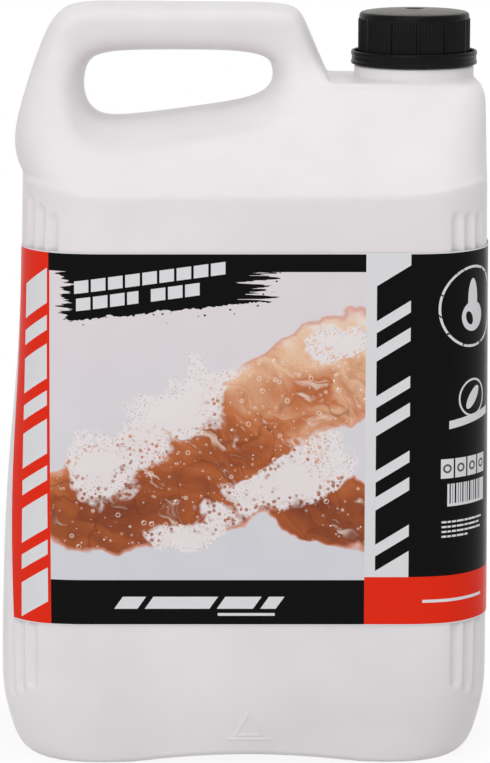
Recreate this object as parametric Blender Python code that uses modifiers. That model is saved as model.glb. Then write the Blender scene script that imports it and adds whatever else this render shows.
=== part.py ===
"""A five litre blow-moulded canister of hand cleaning paste, with its screw cap, tamper ring and label.

All sizes are in metres. +Z is up, the printed front looks along -Y and the handle is on the -X side. The
origin lies on the standing plane, under the middle of the body. The canister is symmetric about Y = 0.
"""

import math

import bmesh
import bpy
from mathutils import Vector
from mathutils.bvhtree import BVHTree

# Body
HALF_WIDTH = 0.0962
HALF_DEPTH = 0.0635
CORNER_RADIUS = 0.0290
WALL = 0.0015
SHOULDER_Z = 0.2245
SHOULDER_LEDGE = 0.0045
SHOULDER_DROP = 0.0030

# The handle side leans in over the upper half of the body, and both sides have come in by their draft
# at the shoulder
LEAN = 0.0062
LEAN_START = 0.090
LEAN_END = 0.180
HANDLE_SIDE_DRAFT = 0.004279
NECK_SIDE_DRAFT = 0.0017505

# Foot
CHAMFER_TOP = 0.0300
CHAMFER_DEPTH = 0.0090
SIDE_TUCK = 0.0068
EDGE_RISE = 0.0045
FOOT_RADIUS = 0.0055
ARCH_HEIGHT = 0.0030
CENTRE_RISE = 0.0050
PAD_INSET = 0.0402
PAD_SHIFT = 0.0015
PAD_SINK = 0.0022

# Handle and hand hole
HANDLE_RISE = 0.0305
HANDLE_END_GAP = 0.0525
GRIP_HEIGHT = 0.0183
GRIP_HALF_DEPTH = 0.0185
HANDLE_EDGE = 0.0085
HANDLE_CORNER = 0.0140
HANDLE_TOP_START = 0.0235
HANDLE_TOP_DROP = 0.0020
SLOPE_RUN = 0.0072
SLOPE_EDGE = 0.0055
HOLE_INSET = 0.0330
HOLE_END_GAP = 0.0553
HOLE_HEIGHT_LEFT = 0.0298
HOLE_HEIGHT_RIGHT = 0.0196
HOLE_CORNER = 0.0045
HOLE_CORNER_DROP = 0.0020
HOLE_CORNER_RISE_LEFT = 0.0026
HOLE_CORNER_RISE_RIGHT = 0.0010
HOLE_FLARE = 0.0055
HOLE_FLOOR_FLARE = 0.0075
HOLE_FLARE_SINK = 0.0012
HOLE_THROAT = 0.55

# Plateau round the neck
PLATEAU_RISE = 0.0387
PLATEAU_HALF_DEPTH = 0.0265
PLATEAU_START_GAP = 0.0335
PLATEAU_EDGE = 0.0045
PLATEAU_ROUNDING = 0.0160
NECK_SIDE_RISE = 0.66

# Neck, thread and closure
NECK_INSET = 0.0292
COLLAR_STEP = 0.0046
COLLAR_HEIGHT = 0.0062
COLLAR_EDGE = 0.0010
COLLAR_ROOT = 0.0060
NECK_RADIUS = 0.0189
NECK_WALL = 0.0021
MOUTH_EDGE = 0.0006
BEAD_HEIGHT = 0.0014
THREAD_HEIGHT = 0.0013
THREAD_LEAD = 0.0060
THREAD_TUBE = 0.0015
CAP_THREAD_TUBE = 0.0011
THREAD_TURNS = 1.5
CAP_RIB = 0.00045
CAP_FINE_RIB = 0.00022
CAP_WALL = 0.0011
CLOSURE_HEIGHT = 0.0268
CAP_EDGE = 0.0016
GRIP_DROP = 0.0024
CAP_TOP_WALL = 0.0018
CAP_DOME = 0.0011
CAP_DIMPLE_RADIUS = 0.0040
CAP_DIMPLE_DEPTH = 0.0008
CAP_SECTORS = 12
FINE_RIBS = 8
LINER_THICKNESS = 0.0015
RING_CLEARANCE = 0.00215
RING_HEIGHT = 0.0053
RING_FLOOR = 0.0012
RING_LIP = 0.0010
RING_EDGE = 0.0004
BRIDGES = 12
BRIDGE_WIDTH = 0.0012
BRIDGE_HEIGHT = 0.0005

# Flutes down the four corners
FLUTES = 3
FLUTE_SPACING = 0.0063
FLUTE_RADIUS = 0.0023
FLUTE_DEPTH = 0.0008
FLUTE_BOTTOM_GAP = 0.0010
FLUTE_TOP_GAP = 0.0110

# Label and contents
LABEL_BOTTOM_GAP = 0.0283
LABEL_TOP_GAP = 0.0206
LABEL_THICKNESS = 0.0002
LABEL_ANGLE_TOP = 77.0
LABEL_ANGLE_BOTTOM = 51.0
LABEL_END_GAP = 0.0245
PASTE_DROP = 0.0056

# Clearances
GAP = 0.0003
PASTE_GAP = 0.0005
THREAD_CLEARANCE = 0.0003
CUT_PAST = 0.0020

# Facets
ROUND_STEPS = 40
THREAD_STEPS = 24
FLUTE_STEPS = 5
CAGE_ROWS = 15
CAGE_COLUMNS = 8
HOLE_COLUMNS = (1, 5)
HOLE_ROWS = (11, 14)
SLOPE_COLUMN = 6
COLUMN_SHARES = (0.0, 0.06, 0.22, 0.37, 0.50, 0.63, 0.78, 0.94, 1.0)
CHAMFER_SHARES = (0.0, 0.27, 0.80)
STRAIGHT_SHARES = (0.03, 0.20, 0.42, 0.65, 0.88)
HOLE_SHARES = (0.0, 0.20, 0.48, 0.78, 1.0)
INNER_FACES = 0.32
RIM_ANGLES = (30, 60, 90)
SHOULDER_ROW = len(CHAMFER_SHARES) + len(STRAIGHT_SHARES) + 1

# Places across the width: the pads go with the sides, and the handle, the hole and the plateau with the neck
PAD_X = HALF_WIDTH - PAD_INSET
NECK_X = HALF_WIDTH - NECK_INSET
PLATEAU_START_X = NECK_X - PLATEAU_START_GAP
HANDLE_END_X = NECK_X - HANDLE_END_GAP
HOLE_RIGHT = NECK_X - HOLE_END_GAP
HOLE_LEFT = HOLE_INSET - HALF_WIDTH

# Heights: the handle stands on the plateau, and the plateau on the shoulder
PLATEAU_Z = SHOULDER_Z + PLATEAU_RISE
HANDLE_TOP = PLATEAU_Z + HANDLE_RISE
HOLE_TOP = HANDLE_TOP - GRIP_HEIGHT
HOLE_FLOOR_LEFT = HOLE_TOP - HOLE_HEIGHT_LEFT
HOLE_FLOOR_RIGHT = HOLE_TOP - HOLE_HEIGHT_RIGHT
PASTE_LEVEL = HOLE_FLOOR_LEFT - PASTE_DROP
FLUTE_BOTTOM = CHAMFER_TOP + FLUTE_BOTTOM_GAP
FLUTE_TOP = SHOULDER_Z - FLUTE_TOP_GAP
LABEL_BOTTOM = CHAMFER_TOP + LABEL_BOTTOM_GAP
LABEL_TOP = SHOULDER_Z - LABEL_TOP_GAP
LABEL_END_Y = HALF_DEPTH - LABEL_END_GAP

# Radii of the closure, from the neck outwards
NECK_BORE = NECK_RADIUS - NECK_WALL
THREAD_CREST = NECK_RADIUS + THREAD_HEIGHT
CAP_BORE = THREAD_CREST + THREAD_CLEARANCE
CAP_RADIUS = CAP_BORE + CAP_WALL
RING_RADIUS = CAP_RADIUS + RING_CLEARANCE + RING_LIP
COLLAR_RADIUS = NECK_RADIUS + COLLAR_STEP

# Heights of the closure, from the neck's collar upwards
CAP_RIM_Z = PLATEAU_Z + CLOSURE_HEIGHT
COLLAR_TOP = PLATEAU_Z + COLLAR_HEIGHT
RING_BOTTOM = COLLAR_TOP + GAP
RING_FLOOR_TOP = RING_BOTTOM + RING_FLOOR
BEAD_BOTTOM = RING_FLOOR_TOP + GAP
BEAD_TOP = BEAD_BOTTOM + BEAD_HEIGHT
SKIRT_BOTTOM = RING_FLOOR_TOP + BRIDGE_HEIGHT + GAP
CAP_CEILING = CAP_RIM_Z - CAP_TOP_WALL
MOUTH_Z = CAP_CEILING - LINER_THICKNESS - 2 * GAP
THREAD_START = BEAD_TOP + 1.4 * THREAD_TUBE
THREAD_ROOM = (MOUTH_Z - THREAD_TUBE - THREAD_START) / THREAD_LEAD
NECK_TURNS = min(THREAD_TURNS, THREAD_ROOM)
CAP_TURNS = NECK_TURNS - 0.5

# Outer line of the handle's post: share of the rise from the shoulder to the handle's top, share of the
# post's swing away from the waist of the body, and share of the width of its rounded edge
POST_SWING = 0.0084
POST_EDGE = 0.0215
POST = (
    (0.16, -0.381, 1.0),
    (0.30, -0.595, 0.698),
    (0.485, -0.048, 0.488),
    (0.69, 0.476, 0.419),
    (0.85, 1.0, 0.372),
)

WHITE = (0.86, 0.86, 0.87, 1.0)
BLACK = (0.012, 0.012, 0.012, 1.0)
LINER_GREY = (0.80, 0.80, 0.78, 1.0)
PASTE_CREAM = (0.82, 0.72, 0.52, 1.0)
LABEL_WHITE = (0.90, 0.90, 0.92, 1.0)


def lerp(a, b, share):
    return a + (b - a) * share


def smooth_step(share):
    share = min(max(share, 0.0), 1.0)
    return share * share * (3 - 2 * share)


def clear_scene():
    for obj in list(bpy.data.objects):
        bpy.data.objects.remove(obj, do_unlink=True)


def new_collection(name, hidden=False):
    collection = bpy.data.collections.new(name)
    collection.hide_render = hidden
    bpy.context.scene.collection.children.link(collection)
    return collection


def plastic(name, colour, roughness):
    material = bpy.data.materials.new(name)
    material.use_nodes = True
    shader = material.node_tree.nodes["Principled BSDF"]
    shader.inputs["Base Color"].default_value = colour
    shader.inputs["Roughness"].default_value = roughness
    shader.inputs["Metallic"].default_value = 0.0
    material.diffuse_color = colour
    return material


def new_object(name, mesh, collection, material=None):
    """An object for this mesh. Without a material it is a cutter or a guide, and isn't part of the model."""
    obj = bpy.data.objects.new(name, mesh)
    collection.objects.link(obj)
    if material:
        mesh.materials.clear()
        mesh.materials.append(material)
    else:
        obj.hide_render = True
        obj.display_type = "WIRE"
    return obj


def mesh_from(bm, name):
    mesh = bpy.data.meshes.new(name)
    bm.to_mesh(mesh)
    bm.free()
    return mesh


def evaluated_mesh(obj, name):
    """The object's mesh with its modifiers applied."""
    graph = bpy.context.evaluated_depsgraph_get()
    mesh = bpy.data.meshes.new_from_object(obj.evaluated_get(graph))
    mesh.name = name
    return mesh


def boolean(obj, cutter, operation):
    modifier = obj.modifiers.new(cutter.name, "BOOLEAN")
    modifier.object = cutter
    modifier.operation = operation
    modifier.solver = "EXACT"
    return modifier


def turned(name, profile, collection, material=None, closed=False, steps=ROUND_STEPS):
    """A solid turned about the neck's axis. The profile is (radius, height), outer side top to bottom."""
    bm = bmesh.new()
    verts = [bm.verts.new((radius, 0.0, z)) for radius, z in profile]
    for a, b in zip(verts, verts[1:]):
        bm.edges.new((a, b))
    if closed:
        bm.edges.new((verts[-1], verts[0]))
    obj = new_object(name, mesh_from(bm, name), collection, material)
    obj.location = (NECK_X, 0.0, 0.0)
    screw = obj.modifiers.new("Turn", "SCREW")
    screw.axis = "Z"
    screw.angle = 2 * math.pi
    screw.steps = screw.render_steps = steps
    screw.use_merge_vertices = True
    screw.merge_threshold = 0.00001
    screw.use_smooth_shade = True
    return obj


def tube(name, points, radii, bevel, collection):
    """A closed tube through these points, as a mesh. Its thickness at each point is a share of bevel."""
    curve = bpy.data.curves.new(name, "CURVE")
    curve.dimensions = "3D"
    curve.bevel_depth = bevel
    curve.bevel_resolution = 1
    curve.use_fill_caps = True
    spline = curve.splines.new("POLY")
    spline.points.add(len(points) - 1)
    for point, spot, radius in zip(spline.points, points, radii):
        point.co = (*spot, 1.0)
        point.radius = radius
    rod = bpy.data.objects.new(name, curve)
    collection.objects.link(rod)
    mesh = evaluated_mesh(rod, name)
    bpy.data.objects.remove(rod, do_unlink=True)
    bm = bmesh.new()
    bm.from_mesh(mesh)
    bmesh.ops.remove_doubles(bm, verts=bm.verts, dist=0.000001)
    bmesh.ops.recalc_face_normals(bm, faces=bm.faces)
    return bm


def helix(name, radius, bevel, start_z, turns, collection):
    """A rounded thread about the neck's axis, right-handed, thinning out at both ends."""
    count = round(turns * THREAD_STEPS)
    points, radii = [], []
    for n in range(count + 1):
        angle = 2 * math.pi * n / THREAD_STEPS
        points.append(
            (
                NECK_X + radius * math.cos(angle),
                radius * math.sin(angle),
                start_z + THREAD_LEAD * n / THREAD_STEPS,
            )
        )
        radii.append(min(1.0, 0.5 + 0.2 * min(n, count - n)))
    mesh = mesh_from(tube(name, points, radii, bevel, collection), name)
    return new_object(name, mesh, collection)


# Shape of the body, as the outline that each height has


def side_tuck(z):
    """How far a side has come in under the chamfer's top."""
    below = max(CHAMFER_TOP - z, 0.0) / CHAMFER_TOP
    return SIDE_TUCK * below * below


def drafted(z):
    """Share of a side's draft at this height, which is 1 at the shoulder."""
    return max(z - CHAMFER_TOP, 0.0) / (SHOULDER_Z - CHAMFER_TOP)


def handle_side(z):
    lean = LEAN * smooth_step((z - LEAN_START) / (LEAN_END - LEAN_START))
    return -HALF_WIDTH + lean + HANDLE_SIDE_DRAFT * drafted(z) + side_tuck(z)


def neck_side(z):
    return HALF_WIDTH - NECK_SIDE_DRAFT * drafted(z) - side_tuck(z)


def half_depth(z):
    """Distance of the front face from the middle plane."""
    ledge_z = SHOULDER_Z + SHOULDER_LEDGE
    ledge = HALF_DEPTH - SHOULDER_DROP
    if z < CHAMFER_TOP:
        return HALF_DEPTH - CHAMFER_DEPTH * (1 - z / CHAMFER_TOP)
    if z <= SHOULDER_Z:
        return HALF_DEPTH
    if z <= ledge_z:
        return lerp(HALF_DEPTH, ledge, (z - SHOULDER_Z) / SHOULDER_LEDGE)
    slope = (z - ledge_z) / (PLATEAU_Z - PLATEAU_EDGE - ledge_z)
    return max(lerp(ledge, PLATEAU_HALF_DEPTH, slope), GRIP_HALF_DEPTH)


def row_height(row):
    """Height of the rows of the cage, up to the one just above the shoulder."""
    if row < len(CHAMFER_SHARES):
        return lerp(EDGE_RISE, CHAMFER_TOP, CHAMFER_SHARES[row])
    straight = row - len(CHAMFER_SHARES)
    if straight < len(STRAIGHT_SHARES):
        return lerp(CHAMFER_TOP, SHOULDER_Z, STRAIGHT_SHARES[straight])
    if straight == len(STRAIGHT_SHARES):
        return SHOULDER_Z - SHOULDER_LEDGE
    return SHOULDER_Z + SHOULDER_LEDGE


def arch(x):
    """Height of the foot's edge, which sinks under the standing plane at the pads."""
    share = min(abs(x - PAD_SHIFT) / PAD_X, 1.0)
    return lerp(ARCH_HEIGHT, -PAD_SINK, share * share)


def hole_point(column, row):
    """Where the hand hole's outline crosses this line of the cage, as (x, z)."""
    first, last = HOLE_COLUMNS
    low, high = HOLE_ROWS
    share = HOLE_SHARES[column - first]
    x = lerp(HOLE_LEFT, HOLE_RIGHT, share)
    floor = lerp(HOLE_FLOOR_LEFT, HOLE_FLOOR_RIGHT, share)
    if column in (first, last):
        tuck = HOLE_CORNER if column == first else -HOLE_CORNER
        rise = HOLE_CORNER_RISE_LEFT if column == first else HOLE_CORNER_RISE_RIGHT
        if row == low:
            return x + tuck, floor + rise
        if row == high:
            return x + 0.6 * tuck, HOLE_TOP - HOLE_CORNER_DROP
        return x, lerp(floor, HOLE_TOP, (row - low) / (high - low))
    return x, floor if row == low else HOLE_TOP


def hole_flare(column, row):
    """The same point moved out to where the flared mouth of the hole meets the front face."""
    first, last = HOLE_COLUMNS
    low, high = HOLE_ROWS
    x, z = hole_point(column, row)
    across = {first: -1.0, last: 1.0}.get(column, 0.0)
    if row == low:
        return x + 0.6 * across * HOLE_FLARE, z - HOLE_FLOOR_FLARE
    if row == high:
        return x + 0.6 * across * HOLE_FLARE, z + 0.7 * HOLE_FLARE
    return x + across * HOLE_FLARE, z


def post_point(row):
    """(x, z, width of the rounded edge) of the handle's outer line on this row."""
    rise, swing, edge = POST[row - SHOULDER_ROW - 1]
    x = handle_side(SHOULDER_Z) + POST_SWING * swing
    return x, lerp(SHOULDER_Z, HANDLE_TOP, rise), POST_EDGE * edge


def slope_point(row):
    """(x, z) of the handle's sloping end on this row, from the plateau to the handle's top."""
    share = (row - HOLE_ROWS[0]) / (CAGE_ROWS - HOLE_ROWS[0])
    top_x = HANDLE_END_X + SLOPE_RUN
    return lerp(PLATEAU_START_X, top_x, share), lerp(PLATEAU_Z, HANDLE_TOP - HANDLE_TOP_DROP, share)


def outline_point(column, row):
    """The silhouette, as (x, z), that belongs to a point on the rim of the front sheet."""
    waist = handle_side(SHOULDER_Z)
    if row == 0 and column == 0:
        return handle_side(0.0), -PAD_SINK
    if row == 0 and column == CAGE_COLUMNS:
        return neck_side(0.0), -PAD_SINK
    if row == 0:
        x, _, _ = front_point(column, row)
        return x, arch(x)
    if column == 0:
        if row <= SHOULDER_ROW:
            z = row_height(row)
            return handle_side(z), z
        if row < CAGE_ROWS:
            x, z, _ = post_point(row)
            return x, z
        return waist + HANDLE_CORNER, HANDLE_TOP - HANDLE_TOP_DROP
    if row == CAGE_ROWS and column < SLOPE_COLUMN:
        share = (column - 1) / (SLOPE_COLUMN - 2)
        right = HANDLE_END_X - 1.5 * HANDLE_TOP_DROP
        return lerp(waist + HANDLE_TOP_START, right, share), HANDLE_TOP - 0.3 * HANDLE_TOP_DROP * share
    if column == SLOPE_COLUMN:
        return slope_point(row)
    if row == HOLE_ROWS[0]:
        if column == CAGE_COLUMNS:
            return neck_side(SHOULDER_Z), PLATEAU_Z
        return neck_side(SHOULDER_Z) - PLATEAU_ROUNDING, PLATEAU_Z
    z = row_height(row) if row <= SHOULDER_ROW else lerp(SHOULDER_Z, PLATEAU_Z, NECK_SIDE_RISE)
    return neck_side(min(z, SHOULDER_Z)), z


def front_point(column, row):
    """A point of the front sheet, before the rim is drawn round it."""
    if row <= SHOULDER_ROW:
        z = row_height(row)
        left = handle_side(z) + CORNER_RADIUS
        right = neck_side(z) - CORNER_RADIUS
        x = lerp(left, right, COLUMN_SHARES[column])
        if row == 0:
            z += arch(x)
        return x, -half_depth(z), z
    if row < HOLE_ROWS[0]:
        left, low, edge = post_point(row)
        right = neck_side(SHOULDER_Z) - 0.85 * CORNER_RADIUS
        x = lerp(left + edge, right, COLUMN_SHARES[column])
        high = lerp(SHOULDER_Z, PLATEAU_Z, 0.9 * NECK_SIDE_RISE)
        z = lerp(low, high, smooth_step(column / SLOPE_COLUMN))
        return x, -half_depth(z), z
    if column == 0 and row < CAGE_ROWS:
        x, z, edge = post_point(row)
        x, z = x + edge, z - HANDLE_TOP_DROP * (row == CAGE_ROWS - 1)
        return x, -half_depth(z), z
    if HOLE_COLUMNS[0] <= column <= HOLE_COLUMNS[1] and row < CAGE_ROWS:
        x, z = hole_flare(column, row)
        return x, -half_depth(z) + HOLE_FLARE_SINK, z
    x, z = outline_point(column, row)
    if row == CAGE_ROWS:
        if column == 0:
            return x + 0.65 * HANDLE_EDGE, -GRIP_HALF_DEPTH, z - 0.65 * HANDLE_EDGE
        if column == SLOPE_COLUMN:
            return x - SLOPE_EDGE, -GRIP_HALF_DEPTH, z - 0.65 * HANDLE_EDGE
        return x, -GRIP_HALF_DEPTH, z - 0.8 * HANDLE_EDGE
    if column == SLOPE_COLUMN and row > HOLE_ROWS[0]:
        x, z = x - SLOPE_EDGE, z - 0.2 * SLOPE_EDGE
        return x, -half_depth(z), z
    if column == SLOPE_COLUMN:
        x = x - 0.7 * SLOPE_EDGE
    elif column == CAGE_COLUMNS:
        x = x - 0.42 * CORNER_RADIUS
    else:
        x = x - 0.40 * CORNER_RADIUS
    z = z - PLATEAU_EDGE
    return x, -half_depth(z), z


def rim_radius(column, row):
    """How far the rounding of the front edge reaches back from the front face."""
    _, depth, _ = front_point(column, row)
    if column in (0, CAGE_COLUMNS) and row <= SHOULDER_ROW:
        return CORNER_RADIUS - FOOT_RADIUS * (row == 0)
    if row == 0:
        return FOOT_RADIUS
    if column in (0, CAGE_COLUMNS) and row <= HOLE_ROWS[0]:
        return 0.45 * abs(depth)
    if row == HOLE_ROWS[0]:
        return PLATEAU_EDGE
    return min(HANDLE_EDGE, 0.55 * abs(depth))


def rim_point(column, row, angle):
    """A point on the rounding between the front sheet and the silhouette, at an angle from the front."""
    x, y, z = front_point(column, row)
    out_x, out_z = outline_point(column, row)
    gain = 1.0 if angle > 80 else 1.03
    turn = math.radians(angle)
    back = rim_radius(column, row)
    across = math.sin(turn) * gain
    return (
        lerp(x, out_x, across),
        y + back * (1 - math.cos(turn) * gain),
        lerp(z, out_z, across),
    )


def middle_point(column, row):
    """A point of the middle plane, where the front half meets its mirror image."""
    x, z = outline_point(column, row)
    if row == 0:
        inner = 0 < column < CAGE_COLUMNS
        return x, 0.0, (CENTRE_RISE if inner else ARCH_HEIGHT)
    return x, 0.0, z


def place(verts, layers, position):
    for vert in verts:
        vert.co = position(vert[layers[0]], vert[layers[1]])


def extruded(bm, edges):
    """Extrudes these edges and returns (new edges, new vertices), which lie on the old ones."""
    made = bmesh.ops.extrude_edge_only(bm, edges=edges)["geom"]
    new_edges = [g for g in made if isinstance(g, bmesh.types.BMEdge)]
    new_verts = [g for g in made if isinstance(g, bmesh.types.BMVert)]
    return new_edges, new_verts


def skin_cage(collection):
    """The coarse cage of the canister's front half: a front sheet, its rim and the hand hole's wall."""
    bm = bmesh.new()
    column_layer = bm.verts.layers.int.new("column")
    row_layer = bm.verts.layers.int.new("row")
    layers = (column_layer, row_layer)
    bmesh.ops.create_grid(bm, x_segments=CAGE_COLUMNS, y_segments=CAGE_ROWS, size=1.0)
    for vert in bm.verts:
        vert[column_layer] = round((vert.co.x + 1) / 2 * CAGE_COLUMNS)
        vert[row_layer] = round((vert.co.y + 1) / 2 * CAGE_ROWS)

    def inside(face, columns, rows):
        return all(
            columns[0] <= v[column_layer] <= columns[1] and rows[0] <= v[row_layer] <= rows[1]
            for v in face.verts
        )

    notch = (SLOPE_COLUMN, CAGE_COLUMNS)
    above = (HOLE_ROWS[0], CAGE_ROWS)
    gone = [
        face
        for face in bm.faces
        if inside(face, HOLE_COLUMNS, HOLE_ROWS) or inside(face, notch, above)
    ]
    bmesh.ops.delete(bm, geom=gone, context="FACES")

    def at_hole(edge):
        return all(
            HOLE_COLUMNS[0] <= v[column_layer] <= HOLE_COLUMNS[1]
            and HOLE_ROWS[0] <= v[row_layer] <= HOLE_ROWS[1]
            for v in edge.verts
        )

    open_edges = [edge for edge in bm.edges if edge.is_boundary]
    hole = [edge for edge in open_edges if at_hole(edge)]
    rim = [edge for edge in open_edges if not at_hole(edge)]
    place(bm.verts, layers, front_point)
    for angle in RIM_ANGLES:
        rim, verts = extruded(bm, rim)
        place(verts, layers, lambda c, r, angle=angle: rim_point(c, r, angle))
    _, verts = extruded(bm, rim)
    place(verts, layers, middle_point)

    def throat(column, row):
        x, z = hole_point(column, row)
        _, y, _ = front_point(column, row)
        return x, HOLE_THROAT * y, z

    def centre(column, row):
        x, z = hole_point(column, row)
        return x, 0.0, z

    hole, verts = extruded(bm, hole)
    place(verts, layers, throat)
    _, verts = extruded(bm, hole)
    place(verts, layers, centre)
    bmesh.ops.recalc_face_normals(bm, faces=bm.faces)
    cage = new_object("skin_cage", mesh_from(bm, "skin_cage"), collection)
    mirror = cage.modifiers.new("Back half", "MIRROR")
    mirror.use_axis = (False, True, False)
    mirror.use_clip = True
    mirror.merge_threshold = 0.00005
    smooth = cage.modifiers.new("Smooth", "SUBSURF")
    smooth.levels = smooth.render_levels = 1
    return cage


def skin_mesh(cage):
    """The canister's outer surface, closed, with its four pads pressed flat on the standing plane."""
    bm = bmesh.new()
    bm.from_mesh(evaluated_mesh(cage, "skin"))
    for vert in bm.verts:
        vert.co.z = max(vert.co.z, 0.0)
    bmesh.ops.recalc_face_normals(bm, faces=bm.faces)
    return mesh_from(bm, "skin")


def offset_mesh(mesh, distance, name):
    """A copy moved along its normals, with walls of even thickness. A positive distance is outwards."""
    bm = bmesh.new()
    bm.from_mesh(mesh)
    bm.normal_update()
    moves = [v.normal * v.calc_shell_factor() * distance for v in bm.verts]
    for vert, move in zip(bm.verts, moves):
        vert.co += move
    return mesh_from(bm, name)


def thinned(obj):
    """Fewer faces on a surface that can't be seen."""
    modifier = obj.modifiers.new("Fewer faces", "DECIMATE")
    modifier.ratio = INNER_FACES


def flute_cutter(skin, collection):
    """Twelve rods, three down each corner, that graze the surface and follow its lean."""
    surface = BVHTree.FromPolygons(
        [v.co for v in skin.vertices], [tuple(p.vertices) for p in skin.polygons]
    )
    joined = bmesh.new()
    step = FLUTE_SPACING / CORNER_RADIUS
    heights = [lerp(FLUTE_BOTTOM, FLUTE_TOP, n / FLUTE_STEPS) for n in range(FLUTE_STEPS + 1)]
    heights[1:1] = [FLUTE_BOTTOM + FLUTE_RADIUS]
    heights[-1:-1] = [FLUTE_TOP - FLUTE_RADIUS]
    for side_x, towards in ((handle_side, -1), (neck_side, 1)):
        for back in (-1, 1):
            for flute in range(FLUTES):
                angle = math.pi / 4 + (flute - (FLUTES - 1) / 2) * step
                outward = Vector((towards * math.sin(angle), back * math.cos(angle), 0.0))
                points = []
                for z in heights:
                    x = side_x(z) - towards * CORNER_RADIUS
                    centre = Vector((x, back * (HALF_DEPTH - CORNER_RADIUS), z))
                    hit = surface.ray_cast(centre, outward)[0]
                    points.append(hit + outward * (FLUTE_RADIUS - FLUTE_DEPTH))
                radii = [0.4] + [1.0] * (len(points) - 2) + [0.4]
                rod = tube("flute", points, radii, FLUTE_RADIUS, collection)
                joined.from_mesh(mesh_from(rod, "flute"))
    return new_object("flutes", mesh_from(joined, "flutes"), collection)


def neck_blank(collection):
    """The neck as a solid bar, from inside the body to the mouth, with the bead that holds the ring."""
    return turned(
        "neck_blank",
        (
            (0.0, MOUTH_Z),
            (NECK_RADIUS - MOUTH_EDGE, MOUTH_Z),
            (NECK_RADIUS, MOUTH_Z - MOUTH_EDGE),
            (NECK_RADIUS, BEAD_TOP),
            (THREAD_CREST, BEAD_TOP - 0.3 * BEAD_HEIGHT),
            (THREAD_CREST, BEAD_BOTTOM),
            (NECK_RADIUS, BEAD_BOTTOM),
            (NECK_RADIUS, COLLAR_TOP),
            (COLLAR_RADIUS - COLLAR_EDGE, COLLAR_TOP),
            (COLLAR_RADIUS, COLLAR_TOP - COLLAR_EDGE),
            (COLLAR_RADIUS, PLATEAU_Z - COLLAR_ROOT),
            (0.0, PLATEAU_Z - COLLAR_ROOT),
        ),
        collection,
    )


def neck_bore(collection):
    """The way through the neck: wide in the collar, narrow at the thread, open at both ends."""
    wide = COLLAR_RADIUS - NECK_WALL
    return turned(
        "neck_bore",
        (
            (0.0, MOUTH_Z + CUT_PAST),
            (NECK_BORE, MOUTH_Z + CUT_PAST),
            (NECK_BORE, COLLAR_TOP - 0.5 * NECK_WALL),
            (wide, COLLAR_TOP - 1.5 * NECK_WALL),
            (wide, PLATEAU_Z - COLLAR_ROOT - CUT_PAST),
            (0.0, PLATEAU_Z - COLLAR_ROOT - CUT_PAST),
        ),
        collection,
    )


def canister(skin, model, cutters):
    shell = new_object("canister", skin.copy(), model, plastic("canister white", WHITE, 0.42))
    cavity = new_object("cavity", offset_mesh(skin, -WALL, "cavity"), cutters)
    thinned(cavity)
    thread = helix(
        "neck_thread", THREAD_CREST - THREAD_TUBE, THREAD_TUBE, THREAD_START, NECK_TURNS, cutters
    )
    boolean(shell, neck_blank(cutters), "UNION")
    boolean(shell, thread, "UNION")
    boolean(shell, cavity, "DIFFERENCE")
    boolean(shell, neck_bore(cutters), "DIFFERENCE")
    boolean(shell, flute_cutter(skin, cutters), "DIFFERENCE")
    return shell


def cleaning_paste(skin, model):
    """The contents: they fill the canister up to their level, clear of the wall all round."""
    bm = bmesh.new()
    bm.from_mesh(offset_mesh(skin, -(WALL + PASTE_GAP), "paste"))
    cut = bmesh.ops.bisect_plane(
        bm,
        geom=[*bm.verts, *bm.edges, *bm.faces],
        plane_co=(0.0, 0.0, PASTE_LEVEL),
        plane_no=(0.0, 0.0, 1.0),
        clear_outer=True,
    )["geom_cut"]
    rim = [g for g in cut if isinstance(g, bmesh.types.BMEdge)]
    bmesh.ops.contextual_create(bm, geom=rim)
    bmesh.ops.recalc_face_normals(bm, faces=bm.faces)
    mesh = mesh_from(bm, "cleaning_paste")
    paste = new_object("cleaning_paste", mesh, model, plastic("paste", PASTE_CREAM, 0.35))
    thinned(paste)
    return paste


def corner_point(z, angle):
    """A point on the front left corner, at an angle from the front, and the direction out through it."""
    turn = math.radians(angle)
    radial = Vector((-math.sin(turn), -math.cos(turn), 0.0))
    centre = Vector((handle_side(z) + CORNER_RADIUS, CORNER_RADIUS - HALF_DEPTH, z))
    return centre + CORNER_RADIUS * radial, radial


def left_part(bm):
    """The geometry that lies wholly left of the middle."""
    edges = [edge for edge in bm.edges if all(v.co.x < 0 for v in edge.verts)]
    faces = [face for face in bm.faces if all(v.co.x < 0 for v in face.verts)]
    return [v for v in bm.verts if v.co.x < 0] + edges + faces


def label(skin, model):
    """A film from the front left corner round the front and the right side, cut from the skin's own form."""
    bm = bmesh.new()
    bm.from_mesh(offset_mesh(skin, GAP, "label"))
    cuts = (
        (Vector((0, 0, LABEL_TOP)), Vector((0, 0, 1))),
        (Vector((0, 0, LABEL_BOTTOM)), Vector((0, 0, -1))),
        (Vector((0, LABEL_END_Y, 0)), Vector((0, 1, 0))),
    )
    for place_on, normal in cuts:
        bmesh.ops.bisect_plane(
            bm,
            geom=[*bm.verts, *bm.edges, *bm.faces],
            plane_co=place_on,
            plane_no=normal,
            clear_outer=True,
        )
    top, radial = corner_point(LABEL_TOP, LABEL_ANGLE_TOP)
    low, _ = corner_point(LABEL_BOTTOM, LABEL_ANGLE_BOTTOM)
    edge = radial.cross(top - low)
    bmesh.ops.bisect_plane(bm, geom=left_part(bm), plane_co=top, plane_no=edge, clear_outer=True)
    mesh = mesh_from(bm, "label")
    film = new_object("label", mesh, model, plastic("label film", LABEL_WHITE, 0.3))
    thickness = film.modifiers.new("Film", "SOLIDIFY")
    thickness.thickness = LABEL_THICKNESS
    thickness.offset = 1.0
    return film


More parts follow.
